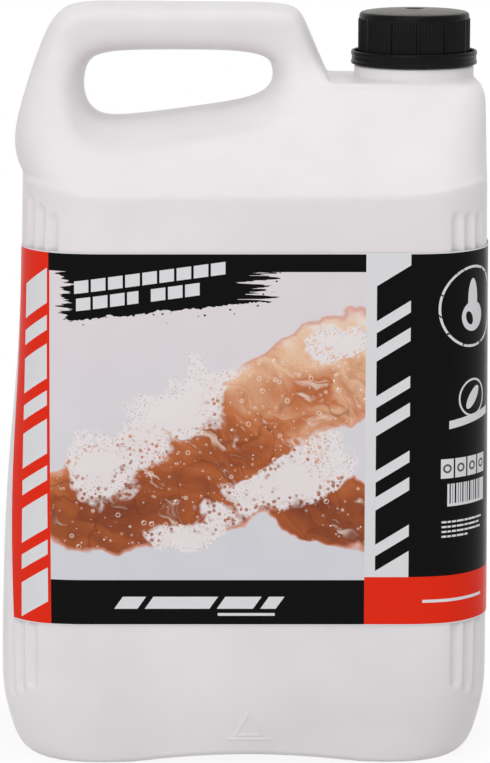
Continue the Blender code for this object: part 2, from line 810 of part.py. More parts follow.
def cap_grip(collection):
    """The ribbed skirt of the cap: broad ribs, and fine ones between them."""
    bm = bmesh.new()
    steps = 2 * (FINE_RIBS + 1)
    top = CAP_RIM_Z - GRIP_DROP
    bmesh.ops.create_cone(
        bm,
        cap_ends=True,
        segments=CAP_SECTORS * steps,
        radius1=1.0,
        radius2=1.0,
        depth=top - SKIRT_BOTTOM,
    )
    for vert in bm.verts:
        angle = math.atan2(vert.co.y, vert.co.x)
        tooth = round(angle / (2 * math.pi) * CAP_SECTORS * steps) % steps
        rib = CAP_RIB if tooth in (0, 1) else CAP_FINE_RIB * (1 + tooth % 2) / 2
        radius = CAP_RADIUS + rib
        vert.co.x, vert.co.y = radius * math.cos(angle), radius * math.sin(angle)
        vert.co.z += (top + SKIRT_BOTTOM) / 2
    grip = new_object("cap_grip", mesh_from(bm, "cap_grip"), collection)
    grip.location = (NECK_X, 0.0, 0.0)
    return grip


def screw_cap(model, cutters):
    cap = turned(
        "screw_cap",
        (
            (0.0, CAP_RIM_Z + CAP_DOME - CAP_DIMPLE_DEPTH),
            (0.6 * CAP_DIMPLE_RADIUS, CAP_RIM_Z + CAP_DOME - CAP_DIMPLE_DEPTH),
            (CAP_DIMPLE_RADIUS, CAP_RIM_Z + CAP_DOME),
            (0.55 * CAP_RADIUS, CAP_RIM_Z + 0.75 * CAP_DOME),
            (CAP_RADIUS - CAP_EDGE, CAP_RIM_Z),
            (CAP_RADIUS - 0.3 * CAP_EDGE, CAP_RIM_Z - 0.3 * CAP_EDGE),
            (CAP_RADIUS, CAP_RIM_Z - CAP_EDGE),
            (CAP_RADIUS, SKIRT_BOTTOM),
            (CAP_BORE, SKIRT_BOTTOM),
            (CAP_BORE, CAP_CEILING),
            (0.0, CAP_CEILING),
        ),
        model,
        plastic("cap black", BLACK, 0.35),
    )
    hollow = turned(
        "cap_hollow",
        (
            (0.0, CAP_CEILING),
            (CAP_BORE, CAP_CEILING),
            (CAP_BORE, SKIRT_BOTTOM - CUT_PAST),
            (0.0, SKIRT_BOTTOM - CUT_PAST),
        ),
        cutters,
    )
    thread = helix(
        "cap_thread",
        NECK_RADIUS + THREAD_CLEARANCE + CAP_THREAD_TUBE,
        CAP_THREAD_TUBE,
        THREAD_START + THREAD_LEAD / 2,
        CAP_TURNS,
        cutters,
    )
    boolean(cap, cap_grip(cutters), "UNION")
    boolean(cap, hollow, "DIFFERENCE")
    boolean(cap, thread, "UNION")
    return cap


def cap_liner(model):
    radius = CAP_BORE - GAP
    low = MOUTH_Z + GAP
    return turned(
        "cap_liner",
        (
            (0.0, low + LINER_THICKNESS),
            (radius, low + LINER_THICKNESS),
            (radius, low),
            (0.0, low),
        ),
        model,
        plastic("liner foam", LINER_GREY, 0.7),
        steps=32,
    )


def tamper_ring(model, cutters):
    """A channel that the cap's skirt stands in. Its floor is trapped between the collar and the bead."""
    inner = NECK_RADIUS + GAP
    top = RING_BOTTOM + RING_HEIGHT
    ring = turned(
        "tamper_ring",
        (
            (RING_RADIUS - RING_LIP, top),
            (RING_RADIUS - 0.3 * RING_LIP, top),
            (RING_RADIUS, top - 0.3 * RING_LIP),
            (RING_RADIUS, RING_BOTTOM + RING_EDGE),
            (RING_RADIUS - RING_EDGE, RING_BOTTOM),
            (inner, RING_BOTTOM),
            (inner, RING_FLOOR_TOP),
            (RING_RADIUS - RING_LIP, RING_FLOOR_TOP),
        ),
        model,
        plastic("ring black", BLACK, 0.35),
        closed=True,
    )
    posts = bmesh.new()
    middle = (CAP_RADIUS + CAP_BORE) / 2
    for n in range(BRIDGES):
        angle = 2 * math.pi * (n + 0.5) / BRIDGES
        made = bmesh.ops.create_cube(posts, size=1.0)["verts"]
        bmesh.ops.scale(posts, verts=made, vec=(CAP_WALL, BRIDGE_WIDTH, 2 * BRIDGE_HEIGHT))
        bmesh.ops.translate(posts, verts=made, vec=(middle, 0.0, RING_FLOOR_TOP))
        for vert in made:
            x, y = vert.co.x, vert.co.y
            vert.co.x = x * math.cos(angle) - y * math.sin(angle)
            vert.co.y = x * math.sin(angle) + y * math.cos(angle)
    bridges = new_object("bridges", mesh_from(posts, "bridges"), cutters)
    bridges.location = ring.location
    boolean(ring, bridges, "UNION")
    return ring


def shade(model):
    """Round surfaces are shaded smooth, and true edges stay sharp."""
    for obj in model.objects:
        obj.data.shade_smooth()
        obj.data.set_sharp_from_angle(angle=math.radians(40))


def main():
    clear_scene()
    model = new_collection("hand_cleaning_paste")
    cutters = new_collection("cutters", hidden=True)
    skin = skin_mesh(skin_cage(cutters))
    canister(skin, model, cutters)
    cleaning_paste(skin, model)
    label(skin, model)
    screw_cap(model, cutters)
    cap_liner(model)
    tamper_ring(model, cutters)
    shade(model)


main()
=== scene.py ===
"""The looks of a five litre canister of hand cleaning paste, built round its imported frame.

Laid out as a Blender add-on, and run as a script. Sizes are in metres, in the frame's own place.
"""

import math

import bmesh
import bpy
from bpy.props import FloatProperty, FloatVectorProperty, IntProperty, PointerProperty
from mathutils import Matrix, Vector


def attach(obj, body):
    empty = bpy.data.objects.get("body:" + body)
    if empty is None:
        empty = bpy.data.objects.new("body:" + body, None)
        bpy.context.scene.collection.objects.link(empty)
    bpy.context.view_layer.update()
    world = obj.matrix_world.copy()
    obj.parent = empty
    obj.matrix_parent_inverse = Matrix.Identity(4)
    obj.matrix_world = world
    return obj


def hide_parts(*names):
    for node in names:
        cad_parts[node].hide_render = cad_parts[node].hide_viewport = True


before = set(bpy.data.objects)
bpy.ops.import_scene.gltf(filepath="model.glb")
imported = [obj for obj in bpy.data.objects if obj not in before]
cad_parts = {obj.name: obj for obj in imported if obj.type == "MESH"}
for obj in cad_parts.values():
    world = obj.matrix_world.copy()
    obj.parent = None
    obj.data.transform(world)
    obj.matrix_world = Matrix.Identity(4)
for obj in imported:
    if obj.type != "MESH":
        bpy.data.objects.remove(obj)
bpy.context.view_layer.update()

bl_info = {
    "name": "Hand cleaning paste canister",
    "version": (1, 0, 0),
    "blender": (4, 5, 0),
    "location": "3D View > Sidebar > Canister",
    "description": "Builds a five litre canister with its closure, its printed label and its contents",
    "category": "Object",
}

# Body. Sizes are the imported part's, but the ledge, the side tuck, the plateau, the collar's height and
# the handle's post are fitted more closely here.
HALF_WIDTH = 0.0962
HALF_DEPTH = 0.0635
CORNER_RADIUS = 0.0290
WALL = 0.0015
SHOULDER_Z = 0.2245
LEDGE_LOW = 0.2252
LEDGE_HIGH = 0.2279
LEDGE_DEPTH = 0.0034
LEDGE_CREASE = 0.45
LEDGE_RISE = 0.0040
LEAN = 0.0062
LEAN_START = 0.090
LEAN_END = 0.180
HANDLE_SIDE_DRAFT = 0.022
NECK_SIDE_DRAFT = 0.009

# Foot
CHAMFER_TOP = 0.0300
CHAMFER_DEPTH = 0.0090
SIDE_TUCK = 0.0080
EDGE_RISE = 0.0045
FOOT_RADIUS = 0.0055
ARCH_HEIGHT = 0.0030
CENTRE_RISE = 0.0050
PAD_X = 0.0560
PAD_SHIFT = 0.0015
PAD_SINK = 0.0022

# Handle and hand hole
HANDLE_TOP = 0.2937
HANDLE_END_X = 0.0145
GRIP_HEIGHT = 0.0183
GRIP_HALF_DEPTH = 0.0185
HANDLE_EDGE = 0.0085
HANDLE_CORNER = 0.0140
HANDLE_TOP_START = 0.0235
HANDLE_TOP_DROP = 0.0020
SLOPE_RUN = 0.0072
SLOPE_EDGE = 0.0055
HOLE_LEFT = -0.0632
HOLE_RIGHT = 0.0117
HOLE_FLOOR_LEFT = 0.2456
HOLE_FLOOR_RIGHT = 0.2558
HOLE_CORNER = 0.0045
HOLE_CORNER_DROP = 0.0020
HOLE_CORNER_RISE = (0.0026, 0.0010)
HOLE_FLARE = 0.0055
HOLE_FLOOR_FLARE = 0.0075
HOLE_FLARE_SINK = 0.0012
HOLE_THROAT = 0.55

# Plateau round the neck
PLATEAU_Z = 0.2643
PLATEAU_HALF_DEPTH = 0.0265
PLATEAU_START_X = 0.0335
PLATEAU_EDGE = 0.0026
SLOPE_FOOT_CREASE = 0.75
PLATEAU_ROUNDING = 0.0125
NECK_SIDE_RISE = 0.73

# Neck, thread and closure
NECK_X = 0.0670
COLLAR_RADIUS = 0.0235
COLLAR_HEIGHT = 0.0051
COLLAR_EDGE = 0.0010
COLLAR_ROOT = 0.0060
NECK_RADIUS = 0.0189
NECK_WALL = 0.0021
MOUTH_EDGE = 0.0006
BEAD_HEIGHT = 0.0014
THREAD_LEAD = 0.0060
THREAD_TUBE = 0.0015
CAP_THREAD_TUBE = 0.0011
THREAD_TURNS = 1.5
CAP_RADIUS = 0.0216
CAP_WALL = 0.0011
CAP_RIM_Z = 0.2900
CAP_EDGE = 0.0016
GRIP_DROP = 0.0024
CAP_TOP_WALL = 0.0018
CAP_DOME = 0.0011
DIMPLE_RADIUS = 0.0040
DIMPLE_DEPTH = 0.0008
CAP_SECTORS = 12
FINE_RIBS = 8
LINER_THICKNESS = 0.0015
LINER_EDGE = 0.0003
PRESS_DEPTH = 0.00012
PRESS_SLOPE = 0.0004
RING_RADIUS = 0.02475
RING_HEIGHT = 0.0053
RING_FLOOR = 0.0012
RING_LIP = 0.0010
RING_EDGE = 0.0004
RING_GROOVE = 0.00025
BRIDGES = 12
BRIDGE_WIDTH = 0.0012
BRIDGE_HEIGHT = 0.0005
GAP = 0.0003
PASTE_GAP = 0.0005
THREAD_CLEARANCE = 0.0003
CUT_PAST = 0.0020

COLLAR_TOP = PLATEAU_Z + COLLAR_HEIGHT
RING_BOTTOM = COLLAR_TOP + GAP
RING_FLOOR_TOP = RING_BOTTOM + RING_FLOOR
BEAD_BOTTOM = RING_FLOOR_TOP + GAP
BEAD_TOP = BEAD_BOTTOM + BEAD_HEIGHT
SKIRT_BOTTOM = RING_FLOOR_TOP + BRIDGE_HEIGHT + GAP
CAP_CEILING = CAP_RIM_Z - CAP_TOP_WALL
MOUTH_Z = CAP_CEILING - LINER_THICKNESS - 2 * GAP
CAP_BORE = CAP_RADIUS - CAP_WALL
NECK_BORE = NECK_RADIUS - NECK_WALL
THREAD_CREST = CAP_BORE - THREAD_CLEARANCE
THREAD_START = BEAD_TOP + 1.4 * THREAD_TUBE

# Flutes down the corners: each runs between these heights, changed by the steps for each one further out
FLUTES = 3
FLUTE_SPACING = 0.0063
FLUTE_HALF_WIDTH = 0.0029
FLUTE_BOTTOM = 0.0340
FLUTE_BOTTOM_STEP = -0.0029
FLUTE_TOP = 0.2160
FLUTE_TOP_STEP_LEFT = 0.0029
FLUTE_TOP_STEP_RIGHT = -0.0003

# Label and contents
LABEL_BOTTOM = 0.0583
LABEL_TOP = 0.2039
LABEL_ANGLE_TOP = 77.0
LABEL_ANGLE_BOTTOM = 51.0
LABEL_END_Y = 0.0390
PASTE_LEVEL = 0.2400

# Raised triangle near the foot, with a bar under it
MARK_X = 0.0020
MARK_BOTTOM = 0.0126
MARK_HEIGHT = 0.0098
MARK_HALF_WIDTH = 0.0052
MARK_BAR = 0.0080
MARK_BAR_Z = 0.0108
MARK_LINE = 0.0006

# Zones of the skin: where rows are added, where the flutes may reach, the mark's place and the neck's
FINE_BANDS = ((0.0235, 0.0460), (0.2040, 0.2290))
FLUTE_ZONE = (0.0200, 0.2300)
MARK_ZONE = (0.0095, 0.0238)
MARK_REACH = 0.0095
MARK_FRONT = -0.0400
NECK_ZONE_LOW = 0.2500
NECK_ZONE_WIDTH = 0.0060

# The cage that the skin is smoothed from
CAGE_ROWS = 15
CAGE_COLUMNS = 8
HOLE_COLUMNS = (1, 5)
HOLE_ROWS = (11, 14)
SLOPE_COLUMN = 6
COLUMN_SHARES = (0.0, 0.06, 0.22, 0.37, 0.50, 0.63, 0.78, 0.94, 1.0)
CHAMFER_SHARES = (0.0, 0.27, 0.80)
STRAIGHT_SHARES = (0.03, 0.20, 0.42, 0.65, 0.88)
HOLE_SHARES = (0.0, 0.20, 0.48, 0.78, 1.0)
SHOULDER_ROW = len(CHAMFER_SHARES) + len(STRAIGHT_SHARES) + 1
COARSE_RIM = (30, 60, 90)
FINE_RIM = (20, 29, 37, 45, 53, 61, 70, 90)

# Outer line of the handle's post: share of the rise from the shoulder to the handle's top, and distance
# from the waist of the body, with the width of the rounded edge there
POST = (
    (0.16, -0.0026, 0.0215),
    (0.30, -0.0038, 0.0150),
    (0.485, -0.0004, 0.0105),
    (0.69, 0.0040, 0.0090),
    (0.85, 0.0084, 0.0080),
)


def lerp(a, b, share):
    return a + (b - a) * share


def smooth_step(share):
    share = min(max(share, 0.0), 1.0)
    return share * share * (3 - 2 * share)


def linear(red, green, blue):
    """A colour as a screen shows it, from 0 to 255, as Blender's linear colour."""
    shares = (value / 255 for value in (red, green, blue))
    return (*(s / 12.92 if s <= 0.04045 else ((s + 0.055) / 1.055) ** 2.4 for s in shares), 1.0)


# Sizes and colours that a user may change


def colour(name, description, rgb):
    return FloatVectorProperty(
        name=name, description=description, subtype="COLOR", size=4, min=0.0, max=1.0, default=linear(*rgb)
    )


def length(name, description, default, most):
    return FloatProperty(
        name=name, description=description, default=default, min=0.0, max=most, precision=5,
        subtype="DISTANCE", unit="LENGTH",
    )


def power(name, description, default):
    return FloatProperty(name=name, description=description, default=default, min=0.0, unit="POWER")


class CanisterSettings(bpy.types.PropertyGroup):
    plastic: colour("Plastic", "Milky white of the blow-moulded wall", (240, 236, 238))
    shade: colour("Clouding", "Slightly greyer patches in the wall", (233, 228, 229))
    flute_depth: length("Flute depth", "How deep the corner flutes are", 0.0015, 0.002)
    seam_height: length("Seam height", "How far the mould's parting line stands proud", 0.00016, 0.001)
    mark_height: length("Mark height", "How far the raised triangle stands proud", 0.00035, 0.001)
    fillet: length("Neck fillet", "Radius where the shoulder rises into the neck's collar", 0.0016, 0.006)


class LabelSettings(bpy.types.PropertyGroup):
    red: colour("Red", "Red of the side strip and of the lower right field", (233, 44, 20))
    black: colour("Black", "Black of the bars and of the side panel", (8, 7, 6))
    white: colour("White", "White of the strip and of the small marks", (226, 226, 229))
    ground: colour("Ground", "Pale ground of the picture", (228, 219, 222))
    amber: colour("Amber", "Mid tone of the gel in the picture", (201, 122, 78))
    foam: colour("Foam", "Foam in the picture", (240, 233, 234))
    thickness: length("Film thickness", "Thickness of the printed film", 0.0002, 0.001)


class ClosureSettings(bpy.types.PropertyGroup):
    black: colour("Black", "Black of the cap and the tamper ring", (14, 14, 15))
    worn: colour("Worn edge", "Colour of rubbed edges on the black plastic", (50, 49, 48))
    # Painted sheen, not dust: a lighter brownish grey laid on the cap's upward faces in place of the top
    # lamp's reflection
    painted_sheen: colour("Dust", "Dust that has settled on top of the cap", (88, 84, 77))
    liner: colour("Liner", "Foam disc inside the cap", (228, 227, 221))
    rib: length("Broad rib", "Height of the twelve broad ribs", 0.00045, 0.001)
    fine_rib: length("Fine rib", "Height of the fine ribs between them", 0.00032, 0.001)
    steps: IntProperty(
        name="Rib facets", description="Facets across each rib", default=6, min=4, max=12
    )


class PasteSettings(bpy.types.PropertyGroup):
    cream: colour("Cream", "Colour of the paste", (232, 215, 178))
    grit: colour("Grit", "Fine scrubbing grains in the paste", (196, 160, 104))
    ripple: length("Ripple", "Height of the folds on top of the paste", 0.0016, 0.004)


class StageSettings(bpy.types.PropertyGroup):
    distance: length("Camera distance", "Camera to the middle of the canister", 1.316, 5.0)
    height: length("Camera height", "Camera above the floor", 0.3955, 2.0)
    pitch: FloatProperty(
        name="Camera pitch", description="How far the camera looks down", default=math.radians(10.9),
        subtype="ANGLE", unit="ROTATION",
    )
    lens: FloatProperty(
        name="Lens", description="Focal length", default=157.8, min=10.0, subtype="DISTANCE_CAMERA"
    )
    world: FloatProperty(name="World light", description="Even light from all sides", default=0.56, min=0.0)
    key: power("Key light", "Power of the large lamp in front", 11.0)
    fill: power("Top light", "Power of the lamp above", 4.4)


class PackSettings(bpy.types.PropertyGroup):
    canister: PointerProperty(type=CanisterSettings)
    label: PointerProperty(type=LabelSettings)
    closure: PointerProperty(type=ClosureSettings)
    paste: PointerProperty(type=PasteSettings)
    stage: PointerProperty(type=StageSettings)


# Meshes and objects


def mesh_from(bm, name):
    mesh = bpy.data.meshes.new(name)
    bm.to_mesh(mesh)
    bm.free()
    return mesh


def add_object(name, mesh):
    obj = bpy.data.objects.new(name, mesh)
    bpy.context.scene.collection.objects.link(obj)
    return obj


def applied(obj, name):
    """The object's mesh with its modifiers applied. The object itself goes."""
    graph = bpy.context.evaluated_depsgraph_get()
    mesh = bpy.data.meshes.new_from_object(obj.evaluated_get(graph))
    mesh.name = name
    bpy.data.objects.remove(obj, do_unlink=True)
    return mesh


def combined(mesh, steps, name):
    """The mesh after these booleans, each an (operation, mesh)."""
    obj = add_object(name, mesh)
    cutters = []
    for operation, other in steps:
        cutter = add_object("cutter", other)
        modifier = obj.modifiers.new("Join", "BOOLEAN")
        modifier.object = cutter
        modifier.operation = operation
        modifier.solver = "EXACT"
        cutters.append(cutter)
    result = applied(obj, name)
    for cutter in cutters:
        bpy.data.objects.remove(cutter, do_unlink=True)
    return result


def finished(name, mesh, body, replaced, material, sharp=38):
    """The object of a finished piece, smooth but for its true edges, riding on its body."""
    mesh.materials.clear()
    mesh.materials.append(material)
    mesh.shade_smooth()
    mesh.set_sharp_from_angle(angle=math.radians(sharp))
    obj = add_object(name, mesh)
    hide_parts(replaced)
    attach(obj, body)
    return obj


def spun(profile, steps, closed=False):
    """A bmesh turned about the neck's axis from a profile of (radius, height)."""
    bm = bmesh.new()
    verts = [bm.verts.new((NECK_X + radius, 0.0, z)) for radius, z in profile]
    edges = [bm.edges.new(pair) for pair in zip(verts, verts[1:])]
    if closed:
        edges.append(bm.edges.new((verts[-1], verts[0])))
    bmesh.ops.spin(
        bm, geom=verts + edges, cent=(NECK_X, 0.0, 0.0), axis=(0.0, 0.0, 1.0), dvec=(0.0, 0.0, 0.0),
        angle=math.tau, steps=steps, use_merge=True, use_duplicate=False,
    )
    bmesh.ops.remove_doubles(bm, verts=bm.verts, dist=0.000002)
    bmesh.ops.recalc_face_normals(bm, faces=bm.faces)
    return bm


def arc(centre, radius, start, end, steps):
    """Points of an arc in the profile's plane, angles in degrees from the outward direction."""
    turns = [math.radians(lerp(start, end, n / steps)) for n in range(steps + 1)]
    return [(centre[0] + radius * math.cos(t), centre[1] + radius * math.sin(t)) for t in turns]


def thread(radius, bevel, start_z, turns, steps=48):
    """A rounded right-handed thread about the neck's axis, thinning out at both ends, as a mesh."""
    count = round(turns * steps)
    curve = bpy.data.curves.new("thread", "CURVE")
    curve.dimensions = "3D"
    curve.bevel_depth = bevel
    curve.bevel_resolution = 3
    curve.use_fill_caps = True
    spline = curve.splines.new("POLY")
    spline.points.add(count)
    for n, point in enumerate(spline.points):
        turn = math.tau * n / steps
        x, y = NECK_X + radius * math.cos(turn), radius * math.sin(turn)
        point.co = (x, y, start_z + THREAD_LEAD * n / steps, 1.0)
        point.radius = min(1.0, 0.5 + 0.1 * min(n, count - n))
    bm = bmesh.new()
    bm.from_mesh(applied(add_object("thread", curve), "thread"))
    bmesh.ops.remove_doubles(bm, verts=bm.verts, dist=0.000001)
    bmesh.ops.recalc_face_normals(bm, faces=bm.faces)
    return mesh_from(bm, "thread")


# Shape of the body, as the outline that each height has


def side_tuck(z):
    """How far a side has come in under the chamfer's top."""
    below = max(CHAMFER_TOP - z, 0.0) / CHAMFER_TOP
    return SIDE_TUCK * below * below


def handle_side(z):
    lean = LEAN * smooth_step((z - LEAN_START) / (LEAN_END - LEAN_START))
    draft = HANDLE_SIDE_DRAFT * max(z - CHAMFER_TOP, 0.0)
    return -HALF_WIDTH + lean + draft + side_tuck(z)


def neck_side(z):
    return HALF_WIDTH - NECK_SIDE_DRAFT * max(z - CHAMFER_TOP, 0.0) - side_tuck(z)


def half_depth(z):
    """Distance of the front face from the middle plane."""
    ledge = HALF_DEPTH - LEDGE_DEPTH
    if z < CHAMFER_TOP:
        return HALF_DEPTH - CHAMFER_DEPTH * (1 - z / CHAMFER_TOP)
    if z <= LEDGE_LOW:
        return HALF_DEPTH
    if z <= LEDGE_HIGH:
        return lerp(HALF_DEPTH, ledge, (z - LEDGE_LOW) / (LEDGE_HIGH - LEDGE_LOW))
    slope = (z - LEDGE_HIGH) / (PLATEAU_Z - PLATEAU_EDGE - LEDGE_HIGH)
    return max(lerp(ledge, PLATEAU_HALF_DEPTH, slope), GRIP_HALF_DEPTH)


def row_height(row):
    """Height of the rows of the cage, up to the one just above the shoulder."""
    if row < len(CHAMFER_SHARES):
        return lerp(EDGE_RISE, CHAMFER_TOP, CHAMFER_SHARES[row])
    straight = row - len(CHAMFER_SHARES)
    if straight < len(STRAIGHT_SHARES):
        return lerp(CHAMFER_TOP, SHOULDER_Z, STRAIGHT_SHARES[straight])
    if straight == len(STRAIGHT_SHARES):
        return LEDGE_LOW
    return LEDGE_HIGH


def arch(x):
    """Height of the foot's edge, which sinks under the standing plane at the pads."""
    share = min(abs(x - PAD_SHIFT) / PAD_X, 1.0)
    return lerp(ARCH_HEIGHT, -PAD_SINK, share * share)


def hole_point(column, row):
    """Where the hand hole's outline crosses this line of the cage, as (x, z)."""
    first, last = HOLE_COLUMNS
    low, high = HOLE_ROWS
    share = HOLE_SHARES[column - first]
    x = lerp(HOLE_LEFT, HOLE_RIGHT, share)
    floor = lerp(HOLE_FLOOR_LEFT, HOLE_FLOOR_RIGHT, share)
    top = HANDLE_TOP - GRIP_HEIGHT
    if column in (first, last):
        tuck = HOLE_CORNER if column == first else -HOLE_CORNER
        if row == low:
            return x + tuck, floor + HOLE_CORNER_RISE[column == last]
        if row == high:
            return x + 0.6 * tuck, top - HOLE_CORNER_DROP
        return x, lerp(floor, top, (row - low) / (high - low))
    return x, floor if row == low else top


def hole_flare(column, row):
    """The same point moved out to where the flared mouth of the hole meets the front face."""
    first, last = HOLE_COLUMNS
    low, high = HOLE_ROWS
    x, z = hole_point(column, row)
    across = {first: -1.0, last: 1.0}.get(column, 0.0)
    if row == low:
        return x + 0.6 * across * HOLE_FLARE, z - HOLE_FLOOR_FLARE
    if row == high:
        return x + 0.6 * across * HOLE_FLARE, z + 0.7 * HOLE_FLARE
    return x + across * HOLE_FLARE, z


def post_point(row):
    """(x, z, width of the rounded edge) of the handle's outer line on this row."""
    share, away, edge = POST[row - SHOULDER_ROW - 1]
    waist = handle_side(SHOULDER_Z)
    return waist + away, lerp(SHOULDER_Z, HANDLE_TOP, share), edge


def slope_point(row):
    """(x, z) of the handle's sloping end on this row, from the plateau to the handle's top."""
    share = (row - HOLE_ROWS[0]) / (CAGE_ROWS - HOLE_ROWS[0])
    top_x = HANDLE_END_X + SLOPE_RUN
    return lerp(PLATEAU_START_X, top_x, share), lerp(PLATEAU_Z, HANDLE_TOP - HANDLE_TOP_DROP, share)


def outline_point(column, row):
    """The silhouette, as (x, z), that belongs to a point on the rim of the front sheet."""
    waist = handle_side(SHOULDER_Z)
    if row == 0 and column == 0:
        return handle_side(0.0), -PAD_SINK
    if row == 0 and column == CAGE_COLUMNS:
        return neck_side(0.0), -PAD_SINK
    if row == 0:
        x, _, _ = front_point(column, row)
        return x, arch(x)
    if column == 0:
        if row <= SHOULDER_ROW:
            z = row_height(row)
            return handle_side(z), z + LEDGE_RISE * (row >= SHOULDER_ROW - 1)
        if row < CAGE_ROWS:
            x, z, _ = post_point(row)
            return x, z
        return waist + HANDLE_CORNER, HANDLE_TOP - HANDLE_TOP_DROP
    if row == CAGE_ROWS and column < SLOPE_COLUMN:
        share = (column - 1) / (SLOPE_COLUMN - 2)
        right = HANDLE_END_X - 1.5 * HANDLE_TOP_DROP
        return lerp(waist + HANDLE_TOP_START, right, share), HANDLE_TOP - 0.3 * HANDLE_TOP_DROP * share
    if column == SLOPE_COLUMN:
        return slope_point(row)
    if row == HOLE_ROWS[0]:
        if column == CAGE_COLUMNS:
            return neck_side(SHOULDER_Z), PLATEAU_Z
        return neck_side(SHOULDER_Z) - PLATEAU_ROUNDING, PLATEAU_Z
    z = row_height(row) if row <= SHOULDER_ROW else lerp(SHOULDER_Z, PLATEAU_Z, NECK_SIDE_RISE)
    return neck_side(min(z, SHOULDER_Z)), z + LEDGE_RISE * (row in (SHOULDER_ROW - 1, SHOULDER_ROW))


def front_point(column, row):
    """A point of the front sheet, before the rim is drawn round it."""
    if row <= SHOULDER_ROW:
        z = row_height(row)
        left = handle_side(z) + CORNER_RADIUS
        right = neck_side(z) - CORNER_RADIUS
        x = lerp(left, right, COLUMN_SHARES[column])
        if row == 0:
            z += arch(x)
        return x, -half_depth(z), z
    if row < HOLE_ROWS[0]:
        left, low, edge = post_point(row)
        right = neck_side(SHOULDER_Z) - 0.85 * CORNER_RADIUS
        x = lerp(left + edge, right, COLUMN_SHARES[column])
        high = lerp(SHOULDER_Z, PLATEAU_Z, 0.9 * NECK_SIDE_RISE)
        z = lerp(low, high, smooth_step(column / SLOPE_COLUMN))
        return x, -half_depth(z), z
    if column == 0 and row < CAGE_ROWS:
        x, z, edge = post_point(row)
        x, z = x + edge, z - HANDLE_TOP_DROP * (row == CAGE_ROWS - 1)
        return x, -half_depth(z), z
    if HOLE_COLUMNS[0] <= column <= HOLE_COLUMNS[1] and row < CAGE_ROWS:
        x, z = hole_flare(column, row)
        return x, -half_depth(z) + HOLE_FLARE_SINK, z
    x, z = outline_point(column, row)
    if row == CAGE_ROWS:
        if column == 0:
            return x + 0.65 * HANDLE_EDGE, -GRIP_HALF_DEPTH, z - 0.65 * HANDLE_EDGE
        if column == SLOPE_COLUMN:
            return x - SLOPE_EDGE, -GRIP_HALF_DEPTH, z - 0.65 * HANDLE_EDGE
        return x, -GRIP_HALF_DEPTH, z - 0.8 * HANDLE_EDGE
    if column == SLOPE_COLUMN and row > HOLE_ROWS[0]:
        x, z = x - SLOPE_EDGE, z - 0.2 * SLOPE_EDGE
        return x, -half_depth(z), z
    if column == SLOPE_COLUMN:
        x = x - 0.7 * SLOPE_EDGE
    elif column == CAGE_COLUMNS:
        x = x - 0.42 * CORNER_RADIUS
    else:
        x = x - 0.40 * CORNER_RADIUS
    z = z - PLATEAU_EDGE
    return x, -half_depth(z), z


def rim_radius(column, row):
    """How far the rounding of the front edge reaches back from the front face."""
    _, depth, _ = front_point(column, row)
    if column in (0, CAGE_COLUMNS) and row <= SHOULDER_ROW:
        return CORNER_RADIUS - FOOT_RADIUS * (row == 0)
    if row == 0:
        return FOOT_RADIUS
    if column in (0, CAGE_COLUMNS) and row <= HOLE_ROWS[0]:
        return 0.45 * abs(depth)
    if row == HOLE_ROWS[0]:
        return PLATEAU_EDGE
    return min(HANDLE_EDGE, 0.55 * abs(depth))


def rim_point(column, row, angle, gain):
    """A point on the rounding between the front sheet and the silhouette, at an angle from the front."""
    x, y, z = front_point(column, row)
    out_x, out_z = outline_point(column, row)
    turn = math.radians(angle)
    back = rim_radius(column, row)
    stretch = 1.0 if angle > 80 else gain
    across = math.sin(turn) * stretch
    depth = y + back * (1 - math.cos(turn) * stretch)
    return lerp(x, out_x, across), depth, lerp(z, out_z, across)


def middle_point(column, row):
    """A point of the middle plane, where the front half meets its mirror image."""
    x, z = outline_point(column, row)
    if row == 0:
        inner = 0 < column < CAGE_COLUMNS
        return x, 0.0, (CENTRE_RISE if inner else ARCH_HEIGHT)
    return x, 0.0, z


def place(verts, layers, position):
    for vert in verts:
        vert.co = position(vert[layers[0]], vert[layers[1]])


def extruded(bm, edges):
    """Extrudes these edges and returns (new edges, new vertices), which lie on the old ones."""
    made = bmesh.ops.extrude_edge_only(bm, edges=edges)["geom"]
    new_edges = [g for g in made if isinstance(g, bmesh.types.BMEdge)]
    new_verts = [g for g in made if isinstance(g, bmesh.types.BMVert)]
    return new_edges, new_verts


